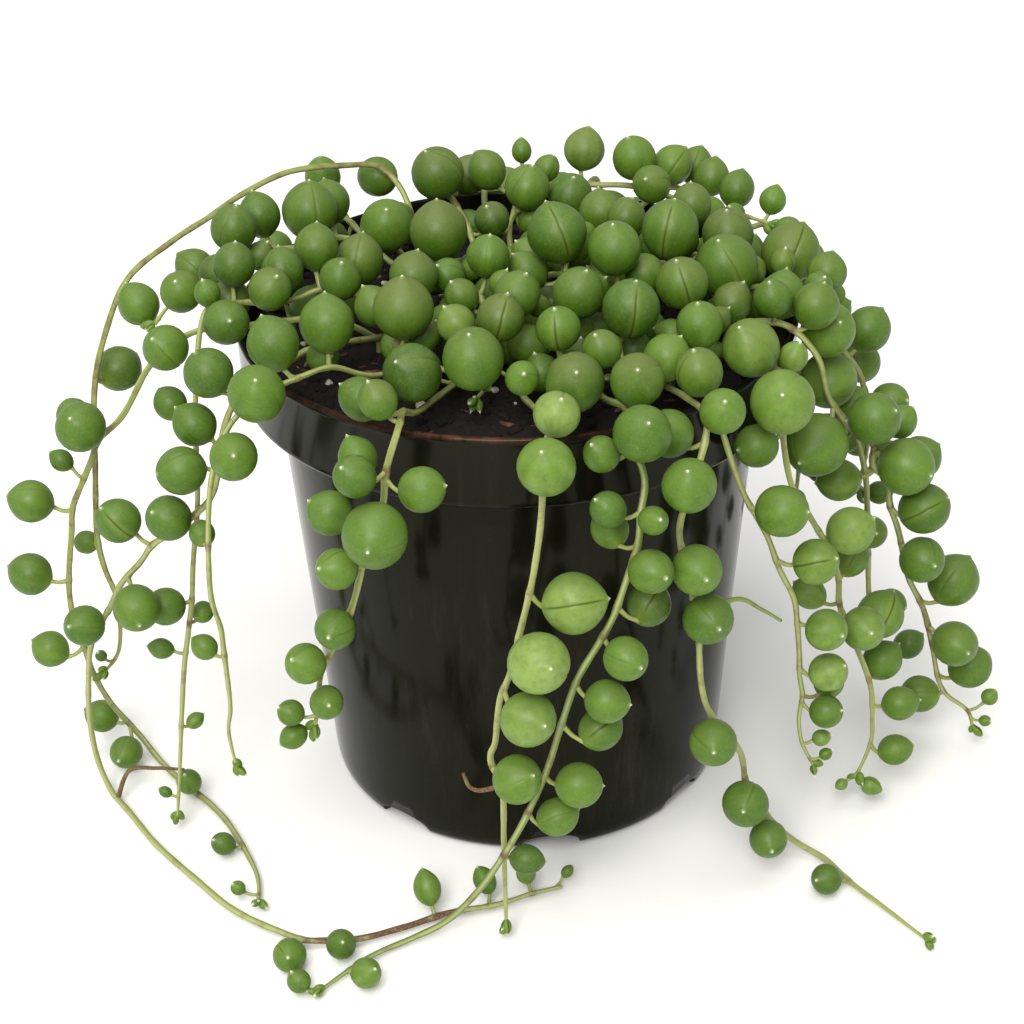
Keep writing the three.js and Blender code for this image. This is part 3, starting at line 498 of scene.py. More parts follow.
def settle(chains, leaves):
    """Pushes leaves and stems apart. chains and leaves are lists of arrays, one for each strand."""
    pairs = list(zip(chains, leaves))
    place = np.concatenate([np.concatenate([chain, own[:, :3]]) for chain, own in pairs])
    radius = [[STEM_RADIUS] * len(chain) + list(own[:, 3] * LEAF_SHARE) for chain, own in pairs]
    radius = np.concatenate(radius)
    stem = np.concatenate([[True] * len(chain) + [False] * len(own) for chain, own in pairs])
    owner = np.concatenate([[i] * (len(chain) + len(own)) for i, (chain, own) in enumerate(pairs)])
    ends = np.cumsum([len(chain) + len(own) for chain, own in pairs])
    spans = [(end - len(chain) - len(own), end - len(own), end) for end, (chain, own) in zip(ends, pairs)]
    one, two = np.triu_indices(len(place), 1)
    same = owner[one] == owner[two]
    rest = np.where(same & (stem[one] | stem[two]), OWN_GAP, GAP)
    need = radius[one] + radius[two] + rest
    near = np.linalg.norm(place[one] - place[two], axis=1) < need + WATCH_REACH
    near &= ~(same & stem[one] & stem[two])
    one, two, need = one[near], two[near], need[near]
    share = np.where(stem[one] == stem[two], 0.5, STEM_SHARE)
    share_one = np.where(stem[one], share, 1 - share)[:, None]
    share_two = np.where(stem[two], share, 1 - share)[:, None]
    for _ in range(SETTLE_ROUNDS):
        push = np.zeros_like(place)
        apart = place[one] - place[two]
        far = np.linalg.norm(apart, axis=1)
        shove = apart * (PUSH_GAIN * np.maximum(need - far, 0) / far)[:, None]
        np.add.at(push, one, shove * share_one)
        np.add.at(push, two, -shove * share_two)
        for start, middle, end in spans:
            for k in range(middle, end):
                to_stem = place[start:middle] - place[k]
                gap = np.linalg.norm(to_stem, axis=1)
                root = int(np.argmin(gap))
                stretch = gap[root] - radius[k] - STEM_RADIUS - STALK_REACH
                if stretch > 0:
                    pull = to_stem[root] * (PULL_GAIN * stretch / gap[root])
                    push[k] += 0.5 * pull
                    push[start + root] -= pull
            for _pass in range(SMOOTH_PASSES):
                p = push[start:middle].copy()
                push[start + 1 : middle - 1] = 0.5 * p[1:-1] + 0.25 * p[:-2] + 0.25 * p[2:]
        place += push
        keep_off_pot(place, radius)
    return [place[a:b] for a, b, _ in spans], [place[b:c] for _, b, c in spans]


chains = [smooth_line(s["route"], CHAIN_STEP) for s in STRANDS]
rows = [row_leaves(chain, s["row"]) if "row" in s else [] for s, chain in zip(STRANDS, chains)]
leaves = [np.array(s["leaves"] + row) for s, row in zip(STRANDS, rows)]
before = np.concatenate([own[:, :3] for own in leaves])
chains, leaf_centres = settle(chains, leaves)
moved = np.linalg.norm(np.concatenate(leaf_centres) - before, axis=1)
print(len(before), "leaves settled, moved", round(float(moved.mean()), 2), "mm on average")

# %% [markdown]
# Every piece below is made as plain lists of corners and faces, so one helper turns those into an
# object. The numbers that a finish needs at each corner, such as how brown a stem is there, go into
# the mesh as named attributes, which a material can read.

# %% Mesh helper
def make_piece(name, corners, faces, material, numbers=None):
    """A smooth-shaded object in metres from corners in millimetres."""
    mesh = bpy.data.meshes.new(name)
    mesh.from_pydata((np.asarray(corners) * MM).tolist(), [], faces)
    mesh.validate()
    mesh.polygons.foreach_set("use_smooth", [True] * len(mesh.polygons))
    for key, values in (numbers or {}).items():
        layer = mesh.attributes.new(key, "FLOAT", "POINT")
        layer.data.foreach_set("value", np.asarray(values, np.float32))
    mesh.materials.append(material)
    piece = bpy.data.objects.new(name, mesh)
    scene.collection.objects.link(piece)
    return piece


def tube_faces(rings, sides):
    """Quads between rings of corners, with a fan's centre corner after the last ring at each end."""
    faces = []
    for i in range(rings - 1):
        for j in range(sides):
            a, b = i * sides + j, i * sides + (j + 1) % sides
            faces.append((a, b, b + sides, a + sides))
    start, end = rings * sides, rings * sides + 1
    last = (rings - 1) * sides
    for j in range(sides):
        faces.append(((j + 1) % sides, j, start))
        faces.append((last + j, last + (j + 1) % sides, end))
    return faces


print("mesh helper ready")

# %% [markdown]
# A pearl is a leaf rolled almost into a ball, which keeps its surface small so that it loses little
# water. It is a body of revolution round the line from its stalk to its tip: nearly a sphere, drawn
# up to a short cusp with a hard point. The point is coloured nearly white, partly its own pale colour
# and partly a painted glint. Down one side runs the window, a thin see-through line that lets light
# into the leaf. A lathe of half circles gives all of it. The half circles crowd together at the
# window, so that its groove is crisp without a fine mesh everywhere.

# %% One pearl
MERIDIANS, PARALLELS = 40, 26
CROWD_AT_WINDOW, CROWD_AT_TIP = 0.72, 1.12
SLIT_HALF, HALO_HALF = 0.19, 0.9
SLIT_DEPTH, HALO_DEPTH = 0.030, 0.012
LUMPS = 0.012
CUSP_SPREAD, POINT_SPREAD, NECK_SPREAD = 0.42, 0.1, 0.35
POINT_LENGTH, POINT_RADIUS = 0.34, 0.26
NECK = 0.06


def pearl(diameter, stretch, cusp, rng):
    """Corners of one pearl with its tip along +Z, its faces, and its numbers at each corner."""
    radius = diameter / 2
    turn = 2 * math.pi * np.arange(MERIDIANS) / MERIDIANS
    turn = turn - CROWD_AT_WINDOW * np.sin(turn)
    down = math.pi * (np.arange(1, PARALLELS) / PARALLELS) ** CROWD_AT_TIP
    phi, theta = np.meshgrid(turn, down)
    side = np.minimum(phi, 2 * math.pi - phi)
    beside = np.sin(theta) * side * radius
    along = np.clip((theta - 0.22) / 0.3, 0, 1) * np.clip((2.75 - theta) / 0.5, 0, 1)
    line = np.exp(-((beside / SLIT_HALF) ** 2)) * along
    halo = np.exp(-((beside / HALO_HALF) ** 2)) * along
    lumps = 1 + LUMPS * np.sin(2 * phi + rng.uniform(0, 6)) + LUMPS * np.sin(3 * theta + rng.uniform(0, 6))
    wide = radius * np.sin(theta) * lumps * (1 - SLIT_DEPTH * line - HALO_DEPTH * halo)
    peak = cusp * np.exp(-((theta / CUSP_SPREAD) ** 2))
    peak = peak + POINT_LENGTH / radius * np.exp(-((theta / POINT_SPREAD) ** 2))
    neck = NECK * np.exp(-(((math.pi - theta) / NECK_SPREAD) ** 2))
    high = radius * (stretch * np.cos(theta) + peak - neck)
    wide = wide * (1 - 0.25 * np.exp(-((theta / 0.2) ** 2)))
    corners = np.stack([wide * np.cos(phi), wide * np.sin(phi), high], axis=-1).reshape(-1, 3)
    top = radius * (stretch + cusp) + 0.45
    corners = np.concatenate([corners, [[0, 0, top], [0, 0, -radius * (stretch + NECK)]]])
    faces = tube_faces(PARALLELS - 1, MERIDIANS)
    streak = sum(np.sin(k * phi + rng.uniform(0, 6)) for k in (4, 5, 7, 8)) / 4 * np.sin(theta)
    numbers = {
        "streak": np.append(streak, [0, 0]),
        "window": np.append(line, [0, 0]),
        "halo": np.append(halo, [0, 0]),
        "tip": np.append(np.exp(-((theta * radius / POINT_RADIUS) ** 2)), [1, 0]),
        "stalk_end": np.append(np.exp(-(((math.pi - theta) / 0.5) ** 2)), [0, 1]),
    }
    return corners, [f[::-1] for f in faces], numbers


sample = pearl(10, 1.0, 0.1, random.Random(1))
print("a pearl has", len(sample[0]), "corners and", len(sample[1]), "faces")

# %% [markdown]
# A stem is a thin round tube that swells a little where each leaf leaves it and thins to its tip. It
# is swept along its line: at each step a ring of corners stands square to the line, and the ring is
# carried forward without twisting. Faint ridges run along it, as on any young stem.

# %% Sweep a tube
RING_STEP = 0.7


def frames_along(line):
    """At each point of a line, two directions square to it that don't twist on the way."""
    ahead = np.gradient(line, axis=0)
    ahead /= np.linalg.norm(ahead, axis=1)[:, None]
    side = np.cross(ahead[0], [0.3, 0.2, 1.0])
    side /= np.linalg.norm(side)
    sides = []
    for direction in ahead:
        side = side - direction * (side @ direction)
        side /= np.linalg.norm(side)
        sides.append(side)
    sides = np.array(sides)
    return sides, np.cross(ahead, sides)


def sweep(line, radii, sides, ridge=0.0):
    """Corners of a tube along a line, with a middle corner for each end."""
    across, over = frames_along(line)
    angle = 2 * math.pi * np.arange(sides) / sides
    wave = 1 + ridge * np.cos(5 * angle)
    ring = across[:, None] * np.cos(angle)[:, None] + over[:, None] * np.sin(angle)[:, None]
    corners = line[:, None] + ring * (radii[:, None] * wave)[..., None]
    return np.concatenate([corners.reshape(-1, 3), line[:1], line[-1:]])


print("a stem has a ring of corners at every", RING_STEP, "mm")

# %% [markdown]
# The leaf skin is what makes the plant. It is a thin clear cuticle with a dusting of wax over soft
# green flesh, so light goes a little way in and comes out yellower. That needs subsurface scattering
# with a short reach, a satin gloss that the wax breaks up, and colour that changes from leaf to leaf.
# The top of each leaf is mixed towards grey-green, partly the wax bloom, where rain and hands haven't
# worn it off, and partly a painted sheen of the light from above. Leaves in strong light turn a little
# brown there. The underside is mixed towards a lighter yellow-green, a painted bounce light from the
# pale board. The window is darker, because light goes in and stays in.

# %% Leaf skin
def waxy_leaf_skin():
    """Living leaf: IOR about 1.45, satin, with green light scattering a millimetre or two."""
    material, tree = start_material("waxy_leaf_skin")
    place = add_node(tree, "TexCoord")
    names = ("tone", "window", "halo", "tip", "stalk_end", "sunned", "streak")
    numbers = [add_node(tree, "Attribute", {"attribute_name": name}).outputs["Fac"] for name in names]
    tone, window, halo, tip, stalk_end, sunned, streak = numbers
    height = add_node(tree, "SeparateXYZ", Vector=place.outputs["Normal"]).outputs["Z"]

    # flesh: from deep green to light green by the leaf's tone, which is partly its own colour and partly
    # painted light and shade
    stops = [(0.0, "#2a470b"), (0.35, "#3f6014"), (0.65, "#547420"), (1.0, "#7b9449")]
    veined = add_node(tree, "MapRange", Value=streak, From_Min=-1.0, To_Min=-0.15, To_Max=0.15)
    shade = add_node(tree, "Math", {"operation": "ADD"}, Value=tone, Value_2=veined)
    flesh = add_node(tree, "ValToRGB", {"stops": stops}, Fac=shade)
    # painted bounce light: the underside of each leaf, facing the pale board, is mixed towards a lighter
    # yellow-green
    below = add_node(tree, "MapRange", Value=height, From_Min=0.1, From_Max=-0.9, To_Max=0.15)
    flesh = add_node(tree, "Mix", {"data_type": "RGBA"}, Factor=below, A=flesh, B="#61771e")

    # cells and wax: mottling of 1.5 mm patches, and a finer grain of 0.4 mm
    patches = add_node(
        tree, "TexNoise", Vector=place.outputs["Object"], Scale=1 / (1.5 * MM), Detail=4.0, Roughness=0.6
    )
    grain = add_node(
        tree, "TexNoise", Vector=place.outputs["Object"], Scale=1 / (0.4 * MM), Detail=3.0, Roughness=0.6
    )
    darker = add_node(tree, "MapRange", Value=patches, From_Min=0.45, From_Max=0.7, To_Max=0.42)
    flesh = add_node(tree, "Mix", {"data_type": "RGBA"}, Factor=darker, A=flesh, B="#36500c")
    paler = add_node(tree, "MapRange", Value=grain, From_Min=0.5, From_Max=0.75, To_Max=0.3)
    flesh = add_node(tree, "Mix", {"data_type": "RGBA"}, Factor=paler, A=flesh, B="#808f3a")

    # grey-green on top of each leaf, partly wax bloom and partly a painted sheen of the light from above,
    # brownish on the ones in full sun
    upward = add_node(tree, "MapRange", Value=height, From_Min=-0.1, From_Max=0.95, To_Max=0.42)
    worn = add_node(tree, "MapRange", Value=patches, From_Min=0.35, From_Max=0.6, To_Min=0.55)
    bloom_and_sheen = add_node(tree, "Math", {"operation": "MULTIPLY"}, Value=upward, Value_2=worn)
    waxed_and_sheened = add_node(tree, "Mix", {"data_type": "RGBA"}, Factor=bloom_and_sheen, A=flesh, B="#6f8349")
    blush_share = add_node(tree, "Math", {"operation": "MULTIPLY"}, Value=upward, Value_2=sunned)
    skin = add_node(tree, "Mix", {"data_type": "RGBA"}, Factor=blush_share, A=waxed_and_sheened, B="#645e3b")

    # window, its pale edges, the hard tip coloured nearly white (partly its own pale point, partly a
    # painted glint) and the pale end at the stalk
    marks = (
        (halo, 0.32, "#7b8e38"), (window, 0.85, "#1f3205"),
        (stalk_end, 0.45, "#7e9233"), (tip, 1.0, "#edf0d2"),
    )
    for where, strength, colour in marks:
        share = add_node(tree, "Math", {"operation": "MULTIPLY"}, Value=where, Value_2=strength)
        skin = add_node(tree, "Mix", {"data_type": "RGBA"}, Factor=share, A=skin, B=colour)

    gloss = add_node(tree, "MapRange", Value=patches, From_Min=0.3, From_Max=0.7, To_Min=0.36, To_Max=0.50)
    relief = add_node(tree, "Bump", Height=grain, Distance=0.03 * MM, Strength=0.5)
    shader = add_node(
        tree, "BsdfPrincipled", {"subsurface_method": "RANDOM_WALK"}, Base_Color=skin, Roughness=gloss,
        Normal=relief, IOR=1.45, Specular_IOR_Level=0.3, Subsurface_Weight=0.18,
        Subsurface_Radius=(0.9, 1.0, 0.3), Subsurface_Scale=1.2 * MM,
    )
    add_node(tree, "OutputMaterial", Surface=shader)
    return material


leaf_skin = waxy_leaf_skin()
print(leaf_skin.name, "has", len(leaf_skin.node_tree.nodes), "nodes")

# %% [markdown]
# The stem is green flesh too, but drier and paler: pale yellow-green, ribbed lengthwise, with thin
# brown bark where it is old, at the swellings and where it has lain on something.

# %% Stem skin
def ribbed_stem_skin():
    """Young stem: IOR about 1.45, nearly matt, going to thin brown bark with age."""
    material, tree = start_material("ribbed_stem_skin")
    place = add_node(tree, "TexCoord").outputs["Object"]
    names = ("aged", "rib", "tone")
    numbers = [add_node(tree, "Attribute", {"attribute_name": name}).outputs["Fac"] for name in names]
    aged, rib, tone = numbers
    patches = add_node(tree, "TexNoise", Vector=place, Scale=1 / (3.0 * MM), Detail=4.0, Roughness=0.6)
    grain = add_node(tree, "TexNoise", Vector=place, Scale=1 / (0.35 * MM), Detail=3.0)
    stops = [(0.0, "#60752e"), (0.5, "#7c893f"), (1.0, "#979e60")]
    green = add_node(tree, "ValToRGB", {"stops": stops}, Fac=tone)
    pale = add_node(tree, "MapRange", Value=rib, From_Min=0.2, From_Max=1.0, To_Max=0.75)
    green = add_node(tree, "Mix", {"data_type": "RGBA"}, Factor=pale, A=green, B="#a8ab79")
    spots = add_node(
        tree, "MapRange", Value=patches, From_Min=0.35, From_Max=0.65, To_Min=-0.35, To_Max=0.35
    )
    brown = add_node(tree, "Math", {"operation": "ADD", "use_clamp": True}, Value=aged, Value_2=spots)
    barky = add_node(tree, "MapRange", Value=brown, From_Min=0.25, From_Max=0.8)
    bark_stops = [(0.3, "#452c1e"), (0.5, "#654a33"), (0.7, "#816847")]
    bark = add_node(tree, "ValToRGB", {"stops": bark_stops}, Fac=grain)
    skin = add_node(tree, "Mix", {"data_type": "RGBA"}, Factor=barky, A=green, B=bark)
    relief = add_node(tree, "Bump", Height=grain, Distance=0.05 * MM, Strength=0.6)
    gloss = add_node(tree, "MapRange", Value=brown, To_Min=0.45, To_Max=0.75)
    shader = add_node(
        tree, "BsdfPrincipled", {"subsurface_method": "RANDOM_WALK"}, Base_Color=skin, Roughness=gloss,
        Normal=relief, IOR=1.45, Subsurface_Weight=0.15, Subsurface_Radius=(0.8, 0.8, 0.3),
        Subsurface_Scale=0.6 * MM,
    )
    add_node(tree, "OutputMaterial", Surface=shader)
    return material


stem_skin = ribbed_stem_skin()
print(stem_skin.name, "has", len(stem_skin.node_tree.nodes), "nodes")

# %% [markdown]
# How the strands differ. Most are the same green, but the front one and those on the right are paler
# and the low ones in the crown are darker, partly their own tone and partly painted light and shade:
# paler where a strand hangs in the light, darker where it lies in shade. The old ones are brown along
# part of their stem, and a few have a leaf or two whose window faces front.

# %% What differs from strand to strand
# tone: how pale the leaves are, 0 to 1. bark: (from, to, how brown) in millimetres along the stem.
# thick: the stem's thickness beside the usual. facing: leaves whose window faces the front.
# lemon: leaves drawn out to a point at both ends. twig_age: how brown the strand's twigs are.
# tuft: how many new leaves crowd at its tip.
CHARACTER = {
    # painted light: the front strand and the right-hand strands get a paler tone, as leaves in the light
    "strand_front_one": {"tone": 0.78, "facing": [2], "stem_tone": 0.8},
    "strand_front_left": {"tone": 0.45},
    "strand_front_two": {"tone": 0.4, "facing": [6, 9], "stem_tone": 0.1, "thick": 1.05},
    "strand_front_right": {"tone": 0.45, "stem_tone": 0.75, "twig_age": 0.15},
    "strand_left_arch": {"tone": 0.36, "bark": [(10, 165, 0.3)], "stem_tone": 0.45},
    "strand_left_outer": {"tone": 0.38, "bark": [(60, 130, 0.25)], "stem_tone": 0.5},
    "strand_left_floor": {
        "tone": 0.45, "bark": [(225, 266, 0.85), (62, 78, 0.4)], "facing": [3], "lemon": [9, 10],
        "stem_tone": 0.7, "tuft": 0,
    },
    "strand_left_middle": {"bark": [(62, 120, 0.25)], "thick": 0.85, "stem_tone": 0.6},
    "strand_left_inner": {"thick": 0.85, "bark": [(85, 120, 0.3)]},
    "strand_left_top": {"tone": 0.38},
    "strand_right_one": {"tone": 0.62, "facing": [3], "thick": 0.9},
    "strand_right_two": {"tone": 0.68, "facing": [7], "thick": 0.95, "stem_tone": 0.7},
    "strand_right_three": {"tone": 0.56, "facing": [6], "bark": [(95, 125, 0.5)]},
    "strand_right_four": {"tone": 0.52},
    "strand_right_top": {"tone": 0.5, "facing": [1]},
    "strand_crown_middle": {"tone": 0.36, "facing": [3]},
    "strand_crown_front": {"tone": 0.4, "facing": [0, 2]},
    "strand_crown_centre": {"tone": 0.38, "facing": [1]},
    "strand_crown_right": {"tone": 0.36, "facing": [0, 1]},
    "strand_crown_left": {"tone": 0.36},
    "strand_crown_back_right": {"tone": 0.48, "stem_tone": 0.8},
    "strand_crown_back": {"tone": 0.4},
    "strand_crown_left_back": {"tone": 0.36},
    # painted shade: the low strands of the crown get the darkest tone, as leaves lying in shade
    "strand_crown_low_left": {"tone": 0.26},
    "strand_crown_low_middle": {"tone": 0.26},
    "strand_crown_low_right": {"tone": 0.24},
    "strand_crown_low_far_right": {"tone": 0.26},
}
print(len(CHARACTER), "strands differ from the usual")

# %% [markdown]
# A strand is then its stem, the stalks of its leaves, its leaves, and the tuft of new leaves at its
# tip. The stem and stalks are one piece and the leaves another, because they have different skins.
# A stem is drawn 1.2 mm thick. The plain solid's, and the balls that settled it, are 2 mm thick, so
# the drawn stem lies inside the space that was kept for it.

# %% Grow the strands
TAPER_MM = 28
THIN_STEM = 0.6
STEM_SIDES, STALK_SIDES = 12, 8
ROOT_DEPTH = 4
CROWN_BASE, CROWN_TOP = 100, 108
BARE_RINGS = 8
KNOT_HALF, KNOT_SWELL = 0.9, 0.2
BARK_FADE = 8
LEAF_BASE = 0.98
TWIG_RADIUS = 0.55
LOWEST_TUFT = 0.9


class Growing:
    """Corners, faces and numbers gathered for one piece."""

    def __init__(self, keys):
        self.corners, self.faces, self.count = [], [], 0
        self.numbers = {key: [] for key in keys}

    def add(self, corners, faces, **numbers):
        self.corners.append(corners)
        self.faces += [tuple(i + self.count for i in face) for face in faces]
        self.count += len(corners)
        for key, kept in self.numbers.items():
            kept.append(np.broadcast_to(numbers.get(key, 0.0), len(corners)))

    def piece(self, name, material):
        numbers = {key: np.concatenate(kept) for key, kept in self.numbers.items()}
        return make_piece(name, np.concatenate(self.corners), self.faces, material, numbers)


def aim(corners, axis, facing):
    """Turns corners so that +Z points along axis, and +X as nearly to facing as that allows."""
    axis = axis / np.linalg.norm(axis)
    across = facing - axis * (facing @ axis)
    across /= np.linalg.norm(across)
    return corners @ np.array([across, np.cross(axis, across), axis])


def grow_stem(line, roots, trait, stem_piece, rng):
    """The stem's tube, with a swelling at each root."""
    run = RING_STEP * np.arange(len(line))
    left = run[-1] - run
    radii = THIN_STEM * trait.get("thick", 1.0) * (0.5 + 0.5 * np.clip(left / TAPER_MM, 0, 1) ** 0.7)
    knots = np.zeros(len(line))
    for root in roots:
        knots = np.maximum(knots, np.exp(-(((run - run[root]) / KNOT_HALF) ** 2)))
    radii = radii * (1 + KNOT_SWELL * knots + 0.04 * np.sin(run * 0.9 + rng.uniform(0, 6)))
    bark = 0.12 + 0.35 * knots
    for start, end, amount in trait.get("bark", []):
        inside = np.clip((run - start) / BARK_FADE, 0, 1) * np.clip((end - run) / BARK_FADE, 0, 1)
        bark = np.maximum(bark, amount * inside)
    angle = 2 * math.pi * np.arange(STEM_SIDES) / STEM_SIDES
    rib = np.tile(0.5 + 0.5 * np.cos(3 * angle), len(line))
    stem_piece.add(
        sweep(line, radii, STEM_SIDES, 0.06), tube_faces(len(line), STEM_SIDES),
        aged=np.append(np.repeat(bark, STEM_SIDES), [bark[0], bark[-1]]), rib=np.append(rib, [0, 0]),
        tone=trait.get("stem_tone", 0.55),
    )


def grow_stalk(root, base, thick, stem_piece):
    """A leaf's stalk: from inside the stem it goes straight out, and turns up into the leaf's base."""
    middle = (root + base) / 2 + np.array([0, 0, -0.12]) * np.linalg.norm(base - root)
    path = smooth_line([root, middle, base], 0.5)
    share = np.linspace(0, 1, len(path))
    radii = thick * (0.54 - 0.16 * share + 0.2 * np.exp(-(((1 - share) / 0.16) ** 2)))
    corners = sweep(path, radii, STALK_SIDES)
    stem_piece.add(corners, tube_faces(len(path), STALK_SIDES), aged=0.05, rib=0.25, tone=0.75)


def grow_strand(strand, chain, centres, sizes):
    """Makes a strand's two pieces and puts them in place of its plain solid."""
    name = strand["name"]
    rng = random.Random(name)
    trait = CHARACTER.get(name, {})
    stem_piece = Growing(["aged", "rib", "tone"])
    leaf_piece = Growing(["tone", "window", "halo", "tip", "stalk_end", "sunned", "streak"])
    rooted = np.concatenate([[chain[0] - [0, 0, ROOT_DEPTH]], chain])
    line = smooth_line(rooted, RING_STEP)
    leafy = line[BARE_RINGS:-2]
    roots = [BARE_RINGS + int(np.argmin(np.linalg.norm(leafy - centre, axis=1))) for centre in centres]
    grow_stem(line, roots, trait, stem_piece, rng)

    for k, (centre, size, root) in enumerate(zip(centres, sizes, roots)):
        outward = (centre - line[root]) / np.linalg.norm(centre - line[root])
        lean = np.array([rng.gauss(0, 1), rng.gauss(0, 1), rng.gauss(0, 1)])
        rise = 0.9 if centre[2] > CROWN_BASE else 0.35
        axis = outward + 0.2 * lean + np.array([0, -0.12, rise])
        axis /= np.linalg.norm(axis)
        young = min(1.0, max(0.0, (8.5 - size) / 5))
        stretch = 1.0 + 0.05 * rng.random() + 0.22 * young * rng.random()
        cusp = 0.03 + 0.10 * rng.random() + 0.12 * young
        facing = np.array([rng.gauss(0, 1), rng.gauss(0, 1), rng.gauss(0.4, 1)])
        clear = rng.choice([0.0, 0.1, 0.2, 0.5])
        if k in trait.get("facing", []):
            facing, clear = np.array([rng.uniform(-0.3, 0.3), -1.0, 0.55]), 1.0
        if k in trait.get("lemon", []):
            stretch, cusp = 1.28, 0.22
        corners, faces, numbers = pearl(size / stretch**0.5, stretch, cusp, rng)
        numbers["window"], numbers["halo"] = numbers["window"] * clear, numbers["halo"] * clear
        tone = trait.get("tone", 0.42) + rng.gauss(0, 0.13) + 0.10 * young
        sunned = max(0.0, rng.gauss(0.25, 0.4)) * (centre[2] > CROWN_TOP)
        numbers.update(tone=tone, sunned=min(sunned, 0.9))
        leaf_piece.add(aim(corners, axis, facing) + centre, faces, **numbers)
        base = centre - axis * size / 2 * LEAF_BASE
        grow_stalk(line[root], base, min(1.0, 0.55 + size / 20), stem_piece)

    ahead = line[-1] - line[-4]
    ahead /= np.linalg.norm(ahead)
    for k in range(trait.get("tuft", rng.randint(3, 5))):
        spread_out = np.array([rng.gauss(0, 1), rng.gauss(0, 1), rng.gauss(0.2, 1)])
        axis = ahead + 0.75 * spread_out / np.linalg.norm(spread_out)
        axis /= np.linalg.norm(axis)
        size = rng.uniform(1.0, 1.9)
        corners, faces, numbers = pearl(size, 1.5, 0.3, rng)
        centre = line[-1] + axis * (size * 0.75 + 0.15) - ahead * rng.uniform(0, 2.0)
        centre[2] = max(centre[2], LOWEST_TUFT)
        leaf_piece.add(aim(corners, axis, spread_out) + centre, faces, tone=0.62, **numbers)

    for twig in strand.get("twigs", []):
        start = line[int(np.argmin(np.linalg.norm(line - np.array(twig[0]), axis=1)))]
        path = smooth_line([start, *twig], 0.5)
        share = np.linspace(0, 1, len(path))
        corners = sweep(path, TWIG_RADIUS * (1 - 0.45 * share), STALK_SIDES)
        stem_piece.add(
            corners, tube_faces(len(path), STALK_SIDES), aged=trait.get("twig_age", 1.0), rib=0.0, tone=0.3
        )

    stem = stem_piece.piece(name + "_stem", stem_skin)
    leafage = leaf_piece.piece(name + "_leaves", leaf_skin)
    for piece in (stem, leafage):
        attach(piece, "root")
    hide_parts(name)
    return len(stem.data.polygons), len(leafage.data.polygons)


# %% [markdown]
# The crown is so full that little soil shows between its leaves, because new leaves grow into the
# gaps that light reaches. Placing them by hand would take long, so balls of shrinking size are tried
# at random beside the stems, and each one that has room becomes a leaf of the strand it was tried on.
# It stays bare behind, at the back left and at the front left, where the peat lies open. These young
# leaves are only here: the plain solids have none of them.

# %% Young leaves in the crown
YOUNG_SIZES = np.linspace(8.6, 4.6, 9)
TRIES = 700
RIM_INSIDE, CROWN_REACH = 46, 60
OVER_RIM, OVER_PEAT, CROWN_CEILING, LOWEST_ROOT = 103, 98.6, 116, 99
STEM_REACH, SHORT_STALK, LONG_STALK = 1.2, 0.4, 3.0
ROOM_TO_STEM, ROOM_TO_LEAF = 1, 0.15


def is_bare(x, y):
    """Whether the peat lies open there."""
    return y > 32 or (x < -12 and y > 8) or (x < 4 and y < -28)


def young_leaves(centres, sizes):
    """Smaller leaves on the crown's stems, for each strand, wherever a ball of that size has room."""
    rng = random.Random(21)
    taken, half = np.concatenate(centres), np.concatenate(sizes) / 2
    stems = np.concatenate(chains)
    found = [[] for _ in chains]
    for size in np.repeat(YOUNG_SIZES, TRIES):
        strand = rng.randrange(len(chains))
        root = chains[strand][rng.randrange(len(chains[strand]))]
        way = np.array([rng.gauss(0, 1), rng.gauss(0, 1), rng.gauss(0.3, 1)])
        reach = STEM_REACH + rng.uniform(SHORT_STALK, LONG_STALK) + size / 2
        centre = root + way / np.linalg.norm(way) * reach
        rho = math.hypot(centre[0], centre[1])
        lowest = OVER_RIM if rho > RIM_INSIDE else OVER_PEAT
        if is_bare(centre[0], centre[1]) or root[2] < LOWEST_ROOT or rho > CROWN_REACH:
            continue
        if centre[2] - size / 2 < lowest or centre[2] > CROWN_CEILING:
            continue
        if np.min(np.linalg.norm(stems - centre, axis=1)) < size / 2 + ROOM_TO_STEM:
            continue
        if np.min(np.linalg.norm(taken - centre, axis=1) - half) < size / 2 + ROOM_TO_LEAF:
            continue
        taken, half = np.vstack([taken, centre]), np.append(half, size / 2)
        found[strand].append((*centre, size))
    return [np.array(some).reshape(-1, 4) for some in found]


young = young_leaves(leaf_centres, [own[:, 3] for own in leaves])
print("young leaves in the crown:", sum(len(some) for some in young))

# %% Make every strand
faces_made = []
for strand, chain, centres, old, new in zip(STRANDS, chains, leaf_centres, leaves, young):
    both = np.concatenate([centres, new[:, :3]])
    faces_made.append(grow_strand(strand, chain, both, np.append(old[:, 3], new[:, 3])))
print("stem faces", sum(f[0] for f in faces_made), "leaf faces", sum(f[1] for f in faces_made))
